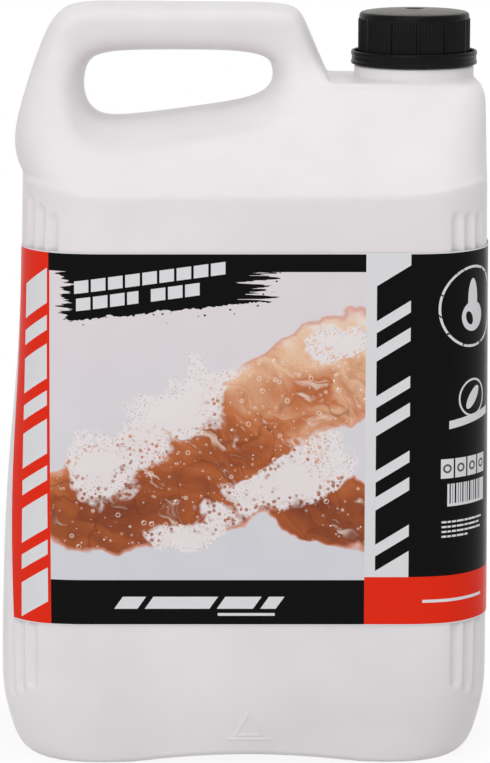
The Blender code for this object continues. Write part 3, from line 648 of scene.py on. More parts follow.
def skin(levels, angles):
    """The canister's outer surface as a bmesh, smoothed from a cage, with its pads pressed flat."""
    bm = bmesh.new()
    for name in ("column", "row"):
        bm.verts.layers.int.new(name)
    layers = column_layer, row_layer = [bm.verts.layers.int[name] for name in ("column", "row")]
    bmesh.ops.create_grid(bm, x_segments=CAGE_COLUMNS, y_segments=CAGE_ROWS, size=1.0)
    for vert in bm.verts:
        vert[column_layer] = round((vert.co.x + 1) / 2 * CAGE_COLUMNS)
        vert[row_layer] = round((vert.co.y + 1) / 2 * CAGE_ROWS)

    def within(part, columns, rows):
        return all(
            columns[0] <= v[column_layer] <= columns[1] and rows[0] <= v[row_layer] <= rows[1]
            for v in part.verts
        )

    notch = ((SLOPE_COLUMN, CAGE_COLUMNS), (HOLE_ROWS[0], CAGE_ROWS))
    gone = [f for f in bm.faces if within(f, HOLE_COLUMNS, HOLE_ROWS) or within(f, *notch)]
    bmesh.ops.delete(bm, geom=gone, context="FACES")
    open_edges = [edge for edge in bm.edges if edge.is_boundary]
    hole = [edge for edge in open_edges if within(edge, HOLE_COLUMNS, HOLE_ROWS)]
    rim = [edge for edge in open_edges if not within(edge, HOLE_COLUMNS, HOLE_ROWS)]
    gain = 1.0 + 0.27 / len(angles) ** 2
    place(bm.verts, layers, front_point)
    for angle in angles:
        rim, verts = extruded(bm, rim)
        place(verts, layers, lambda c, r, angle=angle: rim_point(c, r, angle, gain))
    _, verts = extruded(bm, rim)
    place(verts, layers, middle_point)

    def throat(column, row):
        x, z = hole_point(column, row)
        _, y, _ = front_point(column, row)
        return x, HOLE_THROAT * y, z

    def centre(column, row):
        x, z = hole_point(column, row)
        return x, 0.0, z

    hole, verts = extruded(bm, hole)
    place(verts, layers, throat)
    _, verts = extruded(bm, hole)
    place(verts, layers, centre)
    bmesh.ops.recalc_face_normals(bm, faces=bm.faces)
    crease = bm.edges.layers.float.new("crease_edge")
    for edge in bm.edges:
        rows = {vert[row_layer] for vert in edge.verts}
        in_front = all(vert.co.y < -0.5 * HALF_DEPTH for vert in edge.verts)
        if in_front and rows in ({SHOULDER_ROW - 1}, {SHOULDER_ROW}):
            edge[crease] = LEDGE_CREASE
        places = {(vert[column_layer], vert[row_layer]) for vert in edge.verts}
        if places == {(SLOPE_COLUMN, HOLE_ROWS[0])}:
            edge[crease] = SLOPE_FOOT_CREASE
    cage = add_object("cage", mesh_from(bm, "cage"))
    mirror = cage.modifiers.new("Back half", "MIRROR")
    mirror.use_axis = (False, True, False)
    mirror.use_clip = True
    mirror.merge_threshold = 0.00005
    smooth = cage.modifiers.new("Smooth", "SUBSURF")
    smooth.levels = smooth.render_levels = levels
    mesh = applied(cage, "skin")
    bm = bmesh.new()
    bm.from_mesh(mesh)
    bpy.data.meshes.remove(mesh)
    for vert in bm.verts:
        vert.co.z = max(vert.co.z, 0.0)
    bmesh.ops.recalc_face_normals(bm, faces=bm.faces)
    return bm


def move_out(bm, distance):
    """Moves the surface along its normals, keeping an even distance. A positive one is outwards."""
    bm.normal_update()
    moves = [v.normal * v.calc_shell_factor() * distance for v in bm.verts]
    for vert, move in zip(bm.verts, moves):
        vert.co += move


def corner_place(co):
    """(arc along the corner from the face, direction outwards) of a point on a body corner, or None."""
    right = co.x > 0
    side = neck_side(co.z) - CORNER_RADIUS if right else handle_side(co.z) + CORNER_RADIUS
    across = co.x - side if right else side - co.x
    back = abs(co.y) - (HALF_DEPTH - CORNER_RADIUS)
    if across <= 0 or back <= 0:
        return None
    outward = Vector((across if right else -across, back if co.y > 0 else -back, 0.0))
    return CORNER_RADIUS * math.atan2(across, back), outward.normalized()


def flute_depth_at(arc_length, z, right):
    """Share of the full depth, from 0 to 1, that the flutes have at this place."""
    middle = CORNER_RADIUS * math.pi / 4
    share = 0.0
    for n in range(FLUTES):
        top = FLUTE_TOP + n * (FLUTE_TOP_STEP_RIGHT if right else FLUTE_TOP_STEP_LEFT)
        low = FLUTE_BOTTOM + n * FLUTE_BOTTOM_STEP
        along = middle + (n - (FLUTES - 1) / 2) * FLUTE_SPACING
        past = max(low - z, z - top, 0.0)
        away = math.hypot(arc_length - along, past) / FLUTE_HALF_WIDTH
        if away < 1:
            share = max(share, (1 - away * away) ** 1.4)
    return share


def near_segment(x, z, start, end):
    """Distance of (x, z) from a straight line between two points."""
    line = Vector(end) - Vector(start)
    point = Vector((x, z)) - Vector(start)
    share = min(max(point.dot(line) / line.length_squared, 0.0), 1.0)
    return (point - share * line).length


def mark_share(x, z):
    """Share of the full height that the raised triangle and its bar have at this place."""
    low = (MARK_X - MARK_HALF_WIDTH, MARK_BOTTOM)
    corner = (MARK_X + MARK_HALF_WIDTH, MARK_BOTTOM)
    top = (MARK_X, MARK_BOTTOM + MARK_HEIGHT)
    bar = ((MARK_X - MARK_BAR, MARK_BAR_Z), (MARK_X + MARK_BAR, MARK_BAR_Z))
    lines = ((low, corner), (corner, top), (top, low), bar)
    away = min(near_segment(x, z, *line) for line in lines)
    return smooth_step(1.5 - away / MARK_LINE)


def split_upright_edges(bm, low, high, cuts):
    """Adds rows of faces round the whole body between two heights."""
    upright = []
    for edge in bm.edges:
        a, b = (v.co for v in edge.verts)
        if low < min(a.z, b.z) and max(a.z, b.z) < high and abs(a.z - b.z) > 0.8 * (a - b).length:
            upright.append(edge)
    bmesh.ops.subdivide_edges(bm, edges=upright, cuts=cuts, use_grid_fill=True)


def split_region(bm, inside, cuts):
    """Adds faces where the function says so."""
    edges = {edge for face in bm.faces if inside(face.calc_center_median()) for edge in face.edges}
    bmesh.ops.subdivide_edges(bm, edges=list(edges), cuts=cuts, use_grid_fill=True)


def at_mark(co):
    return co.y < MARK_FRONT and abs(co.x - MARK_X) < MARK_REACH and MARK_ZONE[0] < co.z < MARK_ZONE[1]


def at_neck(co):
    return co.z > NECK_ZONE_LOW and math.hypot(co.x - NECK_X, co.y) < COLLAR_RADIUS + NECK_ZONE_WIDTH


def carve(bm, settings):
    """Presses the flutes in, and raises the mark, the parting seam and the fillet at the neck."""
    bm.normal_update()
    for vert in bm.verts:
        co = vert.co
        move = Vector()
        corner = corner_place(co)
        if corner and FLUTE_ZONE[0] < co.z < FLUTE_ZONE[1]:
            arc_length, outward = corner
            move -= outward * settings.flute_depth * flute_depth_at(arc_length, co.z, co.x > 0)
        if at_mark(co):
            move += vert.normal * settings.mark_height * mark_share(co.x, co.z)
        if abs(co.y) < 0.0002 and co.z > 0.001:
            move += vert.normal * settings.seam_height
        away = math.hypot(co.x - NECK_X, co.y) - COLLAR_RADIUS
        if co.z > NECK_ZONE_LOW and away < settings.fillet and co.x > PLATEAU_START_X:
            inward = settings.fillet - max(away, 0.0)
            rise = settings.fillet - math.sqrt(max(settings.fillet**2 - inward**2, 0.0))
            move.z += min(rise, 0.7 * settings.fillet)
        vert.co = co + move


# Shader nodes


class Nodes:
    """Adds nodes to a tree and links them as they are made."""

    def __init__(self, tree):
        self.tree = tree

    def add(self, kind, *inputs, **settings):
        """A node of this kind. Inputs are (name or number, value or socket)."""
        node = self.tree.nodes.new(kind)
        for name, value in settings.items():
            setattr(node, name, value)
        for name, value in inputs:
            self.set(node.inputs[name], value)
        return node

    def set(self, socket, value):
        if isinstance(value, bpy.types.NodeSocket):
            self.tree.links.new(value, socket)
        else:
            socket.default_value = value

    def math(self, operation, *values, clamp=False):
        node = self.add("ShaderNodeMath", *enumerate(values), operation=operation)
        node.use_clamp = clamp
        return node.outputs[0]

    def times(self, a, b):
        return self.math("MULTIPLY", a, b)

    def plus(self, a, b):
        return self.math("ADD", a, b)

    def minus(self, a, b):
        return self.math("SUBTRACT", a, b)

    def more(self, a, b):
        """1 where the first is more than the second."""
        return self.math("GREATER_THAN", a, b)

    def less(self, a, b):
        """1 where the first is less than the second."""
        return self.math("LESS_THAN", a, b)

    def vector(self, operation, *values):
        node = self.add("ShaderNodeVectorMath", *enumerate(values), operation=operation)
        return node.outputs["Value"] if operation in ("LENGTH", "DISTANCE") else node.outputs[0]

    def combine(self, x, y, z=0.0):
        return self.add("ShaderNodeCombineXYZ", (0, x), (1, y), (2, z)).outputs[0]

    def mix(self, share, below, above):
        """The colour above laid over the one below, by this share."""
        node = self.add("ShaderNodeMix", (0, share), data_type="RGBA")
        self.set(node.inputs[6], below)
        self.set(node.inputs[7], above)
        return node.outputs[2]

    def span(self, value, low, high, out_low=0.0, out_high=1.0, smooth=True):
        """The value from low to high, as a share from out_low to out_high."""
        node = self.add(
            "ShaderNodeMapRange", (0, value), (1, low), (2, high), (3, out_low), (4, out_high),
            interpolation_type="SMOOTHSTEP" if smooth else "LINEAR",
        )
        return node.outputs[0]

    def noise(self, vector, scale, detail=3.0, roughness=0.5, distortion=0.0):
        return self.add(
            "ShaderNodeTexNoise", ("Vector", vector), ("Scale", scale), ("Detail", detail),
            ("Roughness", roughness), ("Distortion", distortion),
        ).outputs["Fac"]

    def cells(self, vector, scale, feature="F1", randomness=1.0, output="Distance"):
        return self.add(
            "ShaderNodeTexVoronoi", ("Vector", vector), ("Scale", scale), ("Randomness", randomness),
            feature=feature,
        ).outputs[output]

    def ramp(self, value, stops):
        """A colour ramp from (place, colour) stops."""
        node = self.add("ShaderNodeValToRGB", (0, value))
        elements = node.color_ramp.elements
        while len(elements) < len(stops):
            elements.new(0.5)
        for element, (position, rgba) in zip(elements, stops):
            element.position = position
            element.color = rgba
        return node.outputs[0]

    def group(self, group, **values):
        """Places a group. Its inputs are given by name, with underscores for spaces."""
        node = self.add("ShaderNodeGroup", node_tree=group)
        for name, value in values.items():
            self.set(node.inputs[name.replace("_", " ")], value)
        return node.outputs

    def places(self):
        return self.add("ShaderNodeTexCoord").outputs["Object"]


def new_group(name, inputs, outputs):
    """An empty shader group. Inputs are (name, type, default) and outputs (name, type)."""
    tree = bpy.data.node_groups.new(name, "ShaderNodeTree")
    for label, kind, default in inputs:
        socket = tree.interface.new_socket(name=label, in_out="INPUT", socket_type="NodeSocket" + kind)
        if default is not None:
            socket.default_value = default
    for label, kind in outputs:
        tree.interface.new_socket(name=label, in_out="OUTPUT", socket_type="NodeSocket" + kind)
    n = Nodes(tree)
    return n, n.add("NodeGroupInput").outputs, n.add("NodeGroupOutput").inputs


def shared(name, build):
    """The group of this name, built the first time that it is asked for."""
    return bpy.data.node_groups.get(name) or build(name)


def moulded_group(name):
    """Fine unevenness of moulded plastic: a height for bump and a roughness that varies with it."""
    n, given, out = new_group(
        name,
        (("Vector", "Vector", None), ("Grain", "Float", 900.0), ("Waviness", "Float", 28.0),
         ("Roughness", "Float", 0.4), ("Spread", "Float", 0.08)),
        (("Height", "Float"), ("Roughness", "Float")),
    )
    grain = n.noise(given["Vector"], given["Grain"], 4.0, 0.6)
    waves = n.noise(given["Vector"], given["Waviness"], 2.0)
    height = n.math("MULTIPLY_ADD", grain, 0.12, waves)
    patches = n.noise(given["Vector"], n.times(given["Waviness"], 3.0), 4.0, 0.65)
    shift = n.times(n.minus(patches, 0.5), given["Spread"])
    n.set(out["Height"], height)
    n.set(out["Roughness"], n.math("MULTIPLY_ADD", shift, 2.0, given["Roughness"], clamp=True))
    return n.tree


def scuffs_group(name):
    """Fine scratches from handling, in two directions, as a mask."""
    n, given, out = new_group(
        name,
        (("Vector", "Vector", None), ("Scale", "Float", 60.0), ("Amount", "Float", 0.3)),
        (("Mask", "Float"),),
    )
    mask = None
    for turn, stretch in ((0.5, (1.0, 1.0, 14.0)), (-0.9, (12.0, 12.0, 1.0))):
        turned = n.add(
            "ShaderNodeMapping", ("Vector", given["Vector"]), ("Rotation", (0.3 * turn, turn, 0.0)),
            ("Scale", stretch),
        ).outputs[0]
        lines = n.noise(turned, given["Scale"], 5.0, 0.7)
        limit = n.math("MULTIPLY_ADD", given["Amount"], -0.2, 0.78)
        fine = n.span(lines, limit, n.plus(limit, 0.04))
        mask = fine if mask is None else n.math("MAXIMUM", mask, fine)
    patches = n.span(n.noise(given["Vector"], 30.0, 2.0), 0.45, 0.65)
    n.set(out["Mask"], n.times(mask, patches))
    return n.tree


def edge_wear_group(name):
    """Where edges are rubbed, from how sharply the surface bends there, broken up by noise."""
    n, given, out = new_group(
        name,
        (("Vector", "Vector", None), ("Amount", "Float", 0.5)),
        (("Mask", "Float"),),
    )
    bend = n.add("ShaderNodeNewGeometry").outputs["Pointiness"]
    edges = n.span(bend, 0.53, 0.62)
    broken = n.span(n.noise(given["Vector"], 420.0, 4.0, 0.65), 0.42, 0.62)
    n.set(out["Mask"], n.times(n.times(edges, broken), given["Amount"]))
    return n.tree


def box_group(name):
    """1 inside a box on the print. Lean moves it sideways as it rises, and Slope up as it goes right."""
    n, given, out = new_group(
        name,
        (("U", "Float", 0.0), ("V", "Float", 0.0), ("Left", "Float", 0.0), ("Right", "Float", 0.0),
         ("Bottom", "Float", 0.0), ("Top", "Float", 0.0), ("Lean", "Float", 0.0), ("Slope", "Float", 0.0)),
        (("Mask", "Float"),),
    )
    risen = n.minus(given["V"], given["Bottom"])
    across = n.minus(given["U"], given["Left"])
    u = n.minus(given["U"], n.times(given["Lean"], risen))
    v = n.minus(given["V"], n.times(given["Slope"], across))
    inside = n.times(n.more(u, given["Left"]), n.less(u, given["Right"]))
    level = n.times(n.more(v, given["Bottom"]), n.less(v, given["Top"]))
    n.set(out["Mask"], n.times(inside, level))
    return n.tree


def ring_group(name):
    """1 on a ring of the print, between two radii, and Away is the distance from its centre."""
    n, given, out = new_group(
        name,
        (("U", "Float", 0.0), ("V", "Float", 0.0), ("X", "Float", 0.0), ("Y", "Float", 0.0),
         ("Inner", "Float", 0.0), ("Outer", "Float", 0.01)),
        (("Mask", "Float"), ("Away", "Float")),
    )
    du = n.minus(given["U"], given["X"])
    dv = n.minus(given["V"], given["Y"])
    away = n.vector("LENGTH", n.combine(du, dv))
    ring = n.times(n.more(away, given["Inner"]), n.less(away, given["Outer"]))
    n.set(out["Mask"], ring)
    n.set(out["Away"], away)
    return n.tree


def blob_group(name):
    """Height of a soft turned ellipse on the print: 1 in its middle, 0 on its outline, below 0 outside."""
    n, given, out = new_group(
        name,
        (("U", "Float", 0.0), ("V", "Float", 0.0), ("X", "Float", 0.0), ("Y", "Float", 0.0),
         ("Wide", "Float", 0.02), ("High", "Float", 0.01), ("Turn", "Float", 0.0)),
        (("Height", "Float"),),
    )
    du = n.minus(given["U"], given["X"])
    dv = n.minus(given["V"], given["Y"])
    cos, sin = n.math("COSINE", given["Turn"]), n.math("SINE", given["Turn"])
    along = n.plus(n.times(du, cos), n.times(dv, sin))
    across = n.minus(n.times(dv, cos), n.times(du, sin))
    scaled = n.combine(n.math("DIVIDE", along, given["Wide"]), n.math("DIVIDE", across, given["High"]))
    n.set(out["Height"], n.minus(1.0, n.vector("LENGTH", scaled)))
    return n.tree


def new_material(name, tint):
    """A material whose only shader is a Principled BSDF: (its nodes, the shader's inputs)."""
    material = bpy.data.materials.new(name)
    material.use_nodes = True
    material.diffuse_color = tint
    shader = material.node_tree.nodes["Principled BSDF"]
    return material, Nodes(material.node_tree), shader.inputs


def bump(n, height, distance, strength):
    inputs = (("Height", height), ("Distance", distance), ("Strength", strength))
    return n.add("ShaderNodeBump", *inputs).outputs[0]


def moulded_surface(n, spot, grain, waviness, roughness, spread):
    return n.group(
        shared("moulded plastic", moulded_group), Vector=spot, Grain=grain, Waviness=waviness,
        Roughness=roughness, Spread=spread,
    )


def scuff_mask(n, spot, scale, amount):
    return n.group(shared("handling scuffs", scuffs_group), Vector=spot, Scale=scale, Amount=amount)["Mask"]


def canister_material(settings):
    """Milky polyethylene: faint clouding, a slight orange peel and a few scuffs."""
    material, n, shader = new_material("milky_polyethylene", settings.plastic)
    spot = n.places()
    clouds = n.span(n.noise(spot, 16.0, 3.0, 0.55), 0.35, 0.7)
    scuffs = scuff_mask(n, spot, 55.0, 0.35)
    tone = n.mix(clouds, settings.plastic, settings.shade)
    tone = n.mix(n.times(scuffs, 0.25), tone, linear(206, 202, 203))
    moulded = moulded_surface(n, spot, 1100.0, 30.0, 0.40, 0.10)
    n.set(shader["Base Color"], tone)
    n.set(shader["Roughness"], n.math("MULTIPLY_ADD", scuffs, 0.12, moulded["Roughness"]))
    n.set(shader["Normal"], bump(n, moulded["Height"], 0.0002, 0.55))
    shader["IOR"].default_value = 1.50
    shader["Specular IOR Level"].default_value = 0.42
    return material


def paste_material(settings):
    """A thick cream paste with fine scrubbing grains."""
    material, n, shader = new_material("cream_paste", settings.cream)
    spot = n.places()
    grains = n.span(n.cells(spot, 900.0), 0.30, 0.12)
    streaks = n.span(n.noise(spot, 60.0, 3.0, 0.6, 1.2), 0.4, 0.7)
    tone = n.mix(n.times(streaks, 0.35), settings.cream, linear(214, 190, 142))
    n.set(shader["Base Color"], n.mix(n.times(grains, 0.7), tone, settings.grit))
    n.set(shader["Roughness"], n.math("MULTIPLY_ADD", grains, 0.25, 0.28))
    n.set(shader["Normal"], bump(n, n.plus(streaks, n.times(grains, 0.4)), 0.0004, 0.6))
    shader["Subsurface Weight"].default_value = 0.15
    shader["Subsurface Scale"].default_value = 0.003
    return material


def black_material(name, settings, roughness, painted_sheen=0.0):
    """Black polypropylene with rubbed edges, fine scuffs and this much painted sheen where it faces up: a
    lighter brownish grey that stands in for the top lamp's reflection.
    """
    material, n, shader = new_material(name, settings.black)
    spot = n.places()
    wear = n.group(shared("rubbed edges", edge_wear_group), Vector=spot, Amount=0.55)["Mask"]
    scuffs = scuff_mask(n, spot, 160.0, 0.5)
    moulded = moulded_surface(n, spot, 2200.0, 90.0, roughness, 0.12)
    marks = n.math("MAXIMUM", wear, n.times(scuffs, 0.5))
    tone = n.mix(marks, settings.black, settings.worn)
    # Painted sheen: faces that point up are lightened in patches towards this colour, standing in for the top
    # lamp's reflection
    if painted_sheen:
        facing = n.add("ShaderNodeSeparateXYZ", (0, n.add("ShaderNodeTexCoord").outputs["Normal"])).outputs[2]
        patchy = n.span(n.noise(spot, 120.0, 4.0, 0.6), 0.30, 0.60, 0.75, 1.0)
        sheen_share = n.times(n.times(n.span(facing, 0.80, 0.97), patchy), painted_sheen)
        tone = n.mix(sheen_share, tone, settings.painted_sheen)
    n.set(shader["Base Color"], tone)
    n.set(shader["Roughness"], n.math("MULTIPLY_ADD", marks, 0.15, moulded["Roughness"]))
    n.set(shader["Normal"], bump(n, moulded["Height"], 0.00008, 0.6))
    shader["Specular IOR Level"].default_value = 0.13
    return material


def liner_material(settings):
    """Closed-cell foam with pressed pores."""
    material, n, shader = new_material("liner_foam", settings.liner)
    spot = n.places()
    pores = n.span(n.cells(spot, 2600.0), 0.1, 0.5)
    n.set(shader["Base Color"], n.mix(pores, linear(204, 202, 195), settings.liner))
    n.set(shader["Roughness"], n.math("MULTIPLY_ADD", pores, 0.1, 0.62))
    n.set(shader["Normal"], bump(n, pores, 0.0001, 0.7))
    return material


# The label's print. U runs along the film and V up it, both in metres, with U at 0 in mid front.


class Print:
    """Lays one colour of the print over another."""

    def __init__(self, n, u, v, ground):
        self.n, self.u, self.v, self.tone = n, u, v, ground

    def lay(self, mask, rgba):
        self.tone = self.n.mix(mask, self.tone, rgba)

    def box(self, left, right, bottom, top, lean=0.0, slope=0.0):
        placed = self.n.group(
            shared("print box", box_group), U=self.u, V=self.v, Left=left, Right=right, Bottom=bottom,
            Top=top, Lean=lean, Slope=slope,
        )
        return placed["Mask"]

    def ring(self, x, y, inner, outer):
        placed = self.n.group(
            shared("print ring", ring_group), U=self.u, V=self.v, X=x, Y=y, Inner=inner, Outer=outer
        )
        return placed["Mask"]

    def blob(self, x, y, wide, high, turn, u=None, v=None):
        placed = self.n.group(
            shared("print blob", blob_group), U=u or self.u, V=v or self.v, X=x, Y=y, Wide=wide, High=high,
            Turn=math.radians(turn),
        )
        return placed["Height"]

    def highest(self, heights):
        result = heights[0]
        for height in heights[1:]:
            result = self.n.math("SMOOTH_MAX", result, height, 0.25)
        return result


# Fields of the print: (left, right, bottom, top)
PICTURE = (-0.0750, 0.0465, 0.0764, 0.1966)
TOP_BAR = (-0.0750, 0.0465, 0.1966, 0.2100)
BOTTOM_BAR = (-0.0745, 0.0465, 0.0500, 0.0764)
RED_STRIP = (-0.1200, -0.0745, 0.0500, 0.2100)
SIDE_PANEL = (0.0635, 0.2500, 0.0500, 0.2100)
RED_FIELD = (0.0465, 0.2500, 0.0500, 0.0776)
MARGIN = 0.0005
BLOCK_PITCH = 0.00650
BLOCK_SHARE = 0.85
BLOCK_SLOPE = 0.135
ROWS_ON_STROKE = (
    (-0.0644, -0.0061, 0.1880, 0.1928),
    (-0.0637, -0.0399, 0.1814, 0.1862),
    (-0.0352, -0.0160, 0.1852, 0.1900),
)

# Slanted strokes: (left, right) of each column, and (height, gap above) of a broad and of a narrow one
STRIP_STROKES = (-0.0878, -0.0757)
PANEL_STROKES = (0.0506, 0.0636)
STROKE_SLOPE = 0.62
STROKES_TOP = 0.1900
BROAD = (0.0135, 0.0052)
NARROW = (0.0058, 0.0046)

# Bars across the foot of the print: (left, width) of the four slanted ones, then boxes of plain ones
FOOT_BARS = ((-0.0500, 0.0090), (-0.0382, 0.0250), (-0.0104, 0.0140), (0.0064, 0.0060))
FOOT_BAR_HEIGHTS = (0.0650, 0.0698)
FOOT_LINE = (-0.0100, 0.0120, 0.0622, 0.0633)
FIELD_LINE = (0.0690, 0.0970, 0.0672, 0.0684)

# Devices on the side panel. Rings are (x, y, inner, outer) and blobs are as for the picture
DROP_RING = (0.0900, 0.1820, 0.0148, 0.0158)
DROP = ((0.0900, 0.1782, 0.0058, 0.0058, 0), (0.0900, 0.1842, 0.0027, 0.0086, 0))
DROP_GLINT = (0.0882, 0.1776, 0.0017, 0.0028, 25)
BADGE_RING = (0.0905, 0.1465, 0.0066, 0.0074)
BADGE_LEAF = (0.0905, 0.1465, 0.0052, 0.0022, 52)
BADGE_BAR = (0.0790, 0.1020, 0.1352, 0.1384)
TILE_COUNT, TILE_LEFT, TILE_PITCH, TILE_WIDTH = 4, 0.0758, 0.0060, 0.0053
TILE_HEIGHTS = (0.1160, 0.1236)
TILE_RING = (0.1198, 0.0010, 0.0018)
CODE_PANEL = (0.0785, 0.0990, 0.1049, 0.1138)
CODE_LEFT, CODE_UNIT, CODE_GAP = 0.0794, 0.0006, 0.00075
CODE_HEIGHTS = (0.1060, 0.1138)
CODE_WIDTHS = (0.9, 0.4, 1.2, 0.5, 0.5, 1.0, 0.4, 0.8, 1.3, 0.4, 0.6, 1.1, 0.5, 0.9)
LINES_LEFT, LINE_HEIGHT = 0.0762, 0.0008
LINES = ((0.0208, 0.0984), (0.0190, 0.0965), (0.0200, 0.0946), (0.0120, 0.0927))

# Soft shapes of the gel and of the foam in the picture: (x, y, half width, half height, turn in degrees)
GEL = (
    (-0.044, 0.1100, 0.036, 0.0240, 16),
    (-0.004, 0.1270, 0.044, 0.0270, 34),
    (0.030, 0.1560, 0.034, 0.0210, 44),
    (0.028, 0.1060, 0.030, 0.0150, -14),
)
FOAM = (
    (-0.026, 0.1430, 0.030, 0.0120, 36),
    (0.018, 0.1160, 0.026, 0.0110, 28),
    (-0.056, 0.1220, 0.013, 0.0130, 0),
    (0.036, 0.1700, 0.012, 0.0080, 30),
    (-0.020, 0.0960, 0.016, 0.0070, 10),
)


def picture(p, settings):
    """Amber gel under foam and bubbles on a pale ground."""
    n = p.n
    flat = n.combine(p.u, p.v)
    shifts = []
    for offset in (0.0, 3.1):
        warp = n.noise(n.vector("ADD", flat, (offset, 0.7 * offset, 0.0)), 42.0, 3.0, 0.5)
        shifts.append(n.times(n.minus(warp, 0.5), 0.026))
    u, v = n.plus(p.u, shifts[0]), n.plus(p.v, shifts[1])
    warped = n.combine(u, v)
    height = n.span(p.v, PICTURE[2], PICTURE[3])
    ground = n.mix(height, linear(213, 214, 220), settings.ground)
    ground = n.mix(n.times(n.noise(flat, 60.0, 2.0), 0.35), ground, linear(240, 238, 244))
    gel = p.highest([p.blob(*shape, u=u, v=v) for shape in GEL])
    turned = n.add("ShaderNodeMapping", ("Vector", warped), ("Rotation", (0.0, 0.0, math.radians(27))))
    streaks = n.noise(n.vector("MULTIPLY", turned.outputs[0], (40.0, 150.0, 1.0)), 1.0, 4.0, 0.6, 0.7)
    broad = n.noise(warped, 48.0, 2.0)
    tone_at = n.math("MULTIPLY_ADD", gel, 0.30, n.times(streaks, 0.55))
    tone_at = n.math("MULTIPLY_ADD", broad, 0.50, tone_at)
    tone_at = n.math("MULTIPLY_ADD", n.minus(0.146, v), 8.0, tone_at)
    amber = n.ramp(
        n.minus(tone_at, 0.24),
        (
            (0.06, linear(244, 226, 216)),
            (0.26, linear(238, 194, 160)),
            (0.46, settings.amber),
            (0.66, linear(172, 92, 52)),
            (0.90, linear(128, 64, 44)),
        ),
    )
    folds = n.math("ABSOLUTE", n.minus(n.noise(warped, 36.0, 2.0, 0.5, 0.4), 0.5))
    folds = n.times(n.span(folds, 0.018, 0.002), n.span(v, 0.152, 0.136, 0.12, 0.5))
    amber = n.mix(folds, amber, linear(126, 58, 40))
    edge_tint = n.mix(n.span(gel, 0.0, 0.10), linear(224, 160, 142), amber)
    picture_tone = n.mix(n.span(gel, -0.02, 0.03), ground, edge_tint)
    gloss = n.times(n.span(streaks, 0.58, 0.66), n.span(gel, 0.10, 0.30))
    picture_tone = n.mix(n.times(gloss, 0.60), picture_tone, linear(250, 230, 214))
    patches = n.noise(warped, 120.0, 4.0, 0.6)
    foam = p.highest([p.blob(*shape, u=u, v=v) for shape in FOAM])
    foam = n.plus(foam, n.times(n.minus(patches, 0.5), 1.1))
    border = n.span(foam, 0.70, 0.15)
    holes = n.times(n.span(n.cells(flat, 430.0), 0.36, 0.26), border)
    pits = n.times(n.span(n.cells(flat, 900.0), 0.36, 0.20), border)
    foam_tone = n.mix(n.times(pits, 0.60), settings.foam, linear(186, 140, 126))
    foam_share = n.times(n.span(foam, -0.12, 0.10), n.math("MULTIPLY_ADD", holes, -0.85, 1.0))
    picture_tone = n.mix(n.times(foam_share, 0.95), picture_tone, foam_tone)
    on_gel = n.times(n.span(gel, 0.0, 0.15), n.span(foam, 0.35, 0.0))
    for scale, shift, strength in ((210.0, 0.0, 0.55), (400.0, 2.3, 0.50)):
        spots = n.vector("ADD", flat, (shift, shift, 0.0))
        bubbles = n.cells(spots, scale)
        chosen = n.more(n.cells(spots, scale, output="Color"), 0.5)
        rim = n.times(n.span(bubbles, 0.12, 0.17), n.span(bubbles, 0.25, 0.19))
        rim = n.times(n.times(rim, on_gel), n.times(chosen, strength))
        picture_tone = n.mix(rim, picture_tone, linear(250, 228, 214))
        glint = n.cells(n.vector("ADD", spots, (0.08 / scale, -0.08 / scale, 0.0)), scale)
        spark = n.times(n.span(glint, 0.10, 0.05), on_gel)
        picture_tone = n.mix(spark, picture_tone, linear(255, 248, 242))
    p.lay(p.box(*PICTURE), picture_tone)


def brush_stroke(p, settings):
    """A dry black brush stroke that hangs from the top bar at the left, with spatters under it."""
    n = p.n
    along = n.minus(p.u, -0.0698)
    centre = n.math("MULTIPLY_ADD", along, 0.050, 0.1882)
    streaks = n.noise(n.combine(n.times(p.u, 26.0), n.times(p.v, 620.0)), 1.0, 3.0, 0.6)
    ragged = n.noise(n.combine(n.times(p.u, 140.0), n.times(p.v, 60.0)), 1.0, 4.0, 0.7)
    half = n.math("MULTIPLY_ADD", along, -0.050, 0.0108)
    half = n.plus(half, n.times(n.minus(ragged, 0.5), 0.0060))
    away = n.math("ABSOLUTE", n.minus(p.v, centre))
    inside = n.less(away, half)
    ends = n.plus(along, n.times(n.minus(streaks, 0.5), 0.026))
    inside = n.times(inside, n.more(ends, 0.002))
    inside = n.times(inside, n.less(ends, 0.0810))
    dry = n.span(along, 0.045, 0.088, 0.85, 0.44)
    inside = n.times(inside, n.less(streaks, dry))
    spots = n.less(n.cells(n.combine(p.u, n.times(p.v, 1.3)), 420.0), 0.20)
    near = n.less(away, n.plus(half, 0.0045))
    near = n.times(near, n.more(along, 0.004))
    near = n.times(near, n.less(along, 0.086))
    sparse = n.more(n.noise(n.combine(p.u, p.v), 160.0, 2.0), 0.52)
    stroke = n.math("MAXIMUM", inside, n.times(n.times(spots, near), sparse))
    p.lay(stroke, settings.black)


def block_rows(p, settings):
    """Rows of plain white blocks on the stroke, where a pack of this kind is titled."""
    n = p.n
    for left, right, bottom, top in ROWS_ON_STROKE:
        step = n.math("FRACT", n.math("DIVIDE", n.minus(p.u, left), BLOCK_PITCH))
        blocks = n.less(step, BLOCK_SHARE)
        p.lay(n.times(p.box(left, right, bottom, top, slope=BLOCK_SLOPE), blocks), settings.white)


def slanted_strokes(p, column, bottom, broad, rgba):
    """A column of slanted strokes, broad and narrow in turn, up the whole strip."""
    while bottom < STROKES_TOP:
        tall, gap = BROAD if broad else NARROW
        p.lay(p.box(*column, bottom, bottom + tall, slope=STROKE_SLOPE), rgba)
        bottom += tall + gap
        broad = not broad


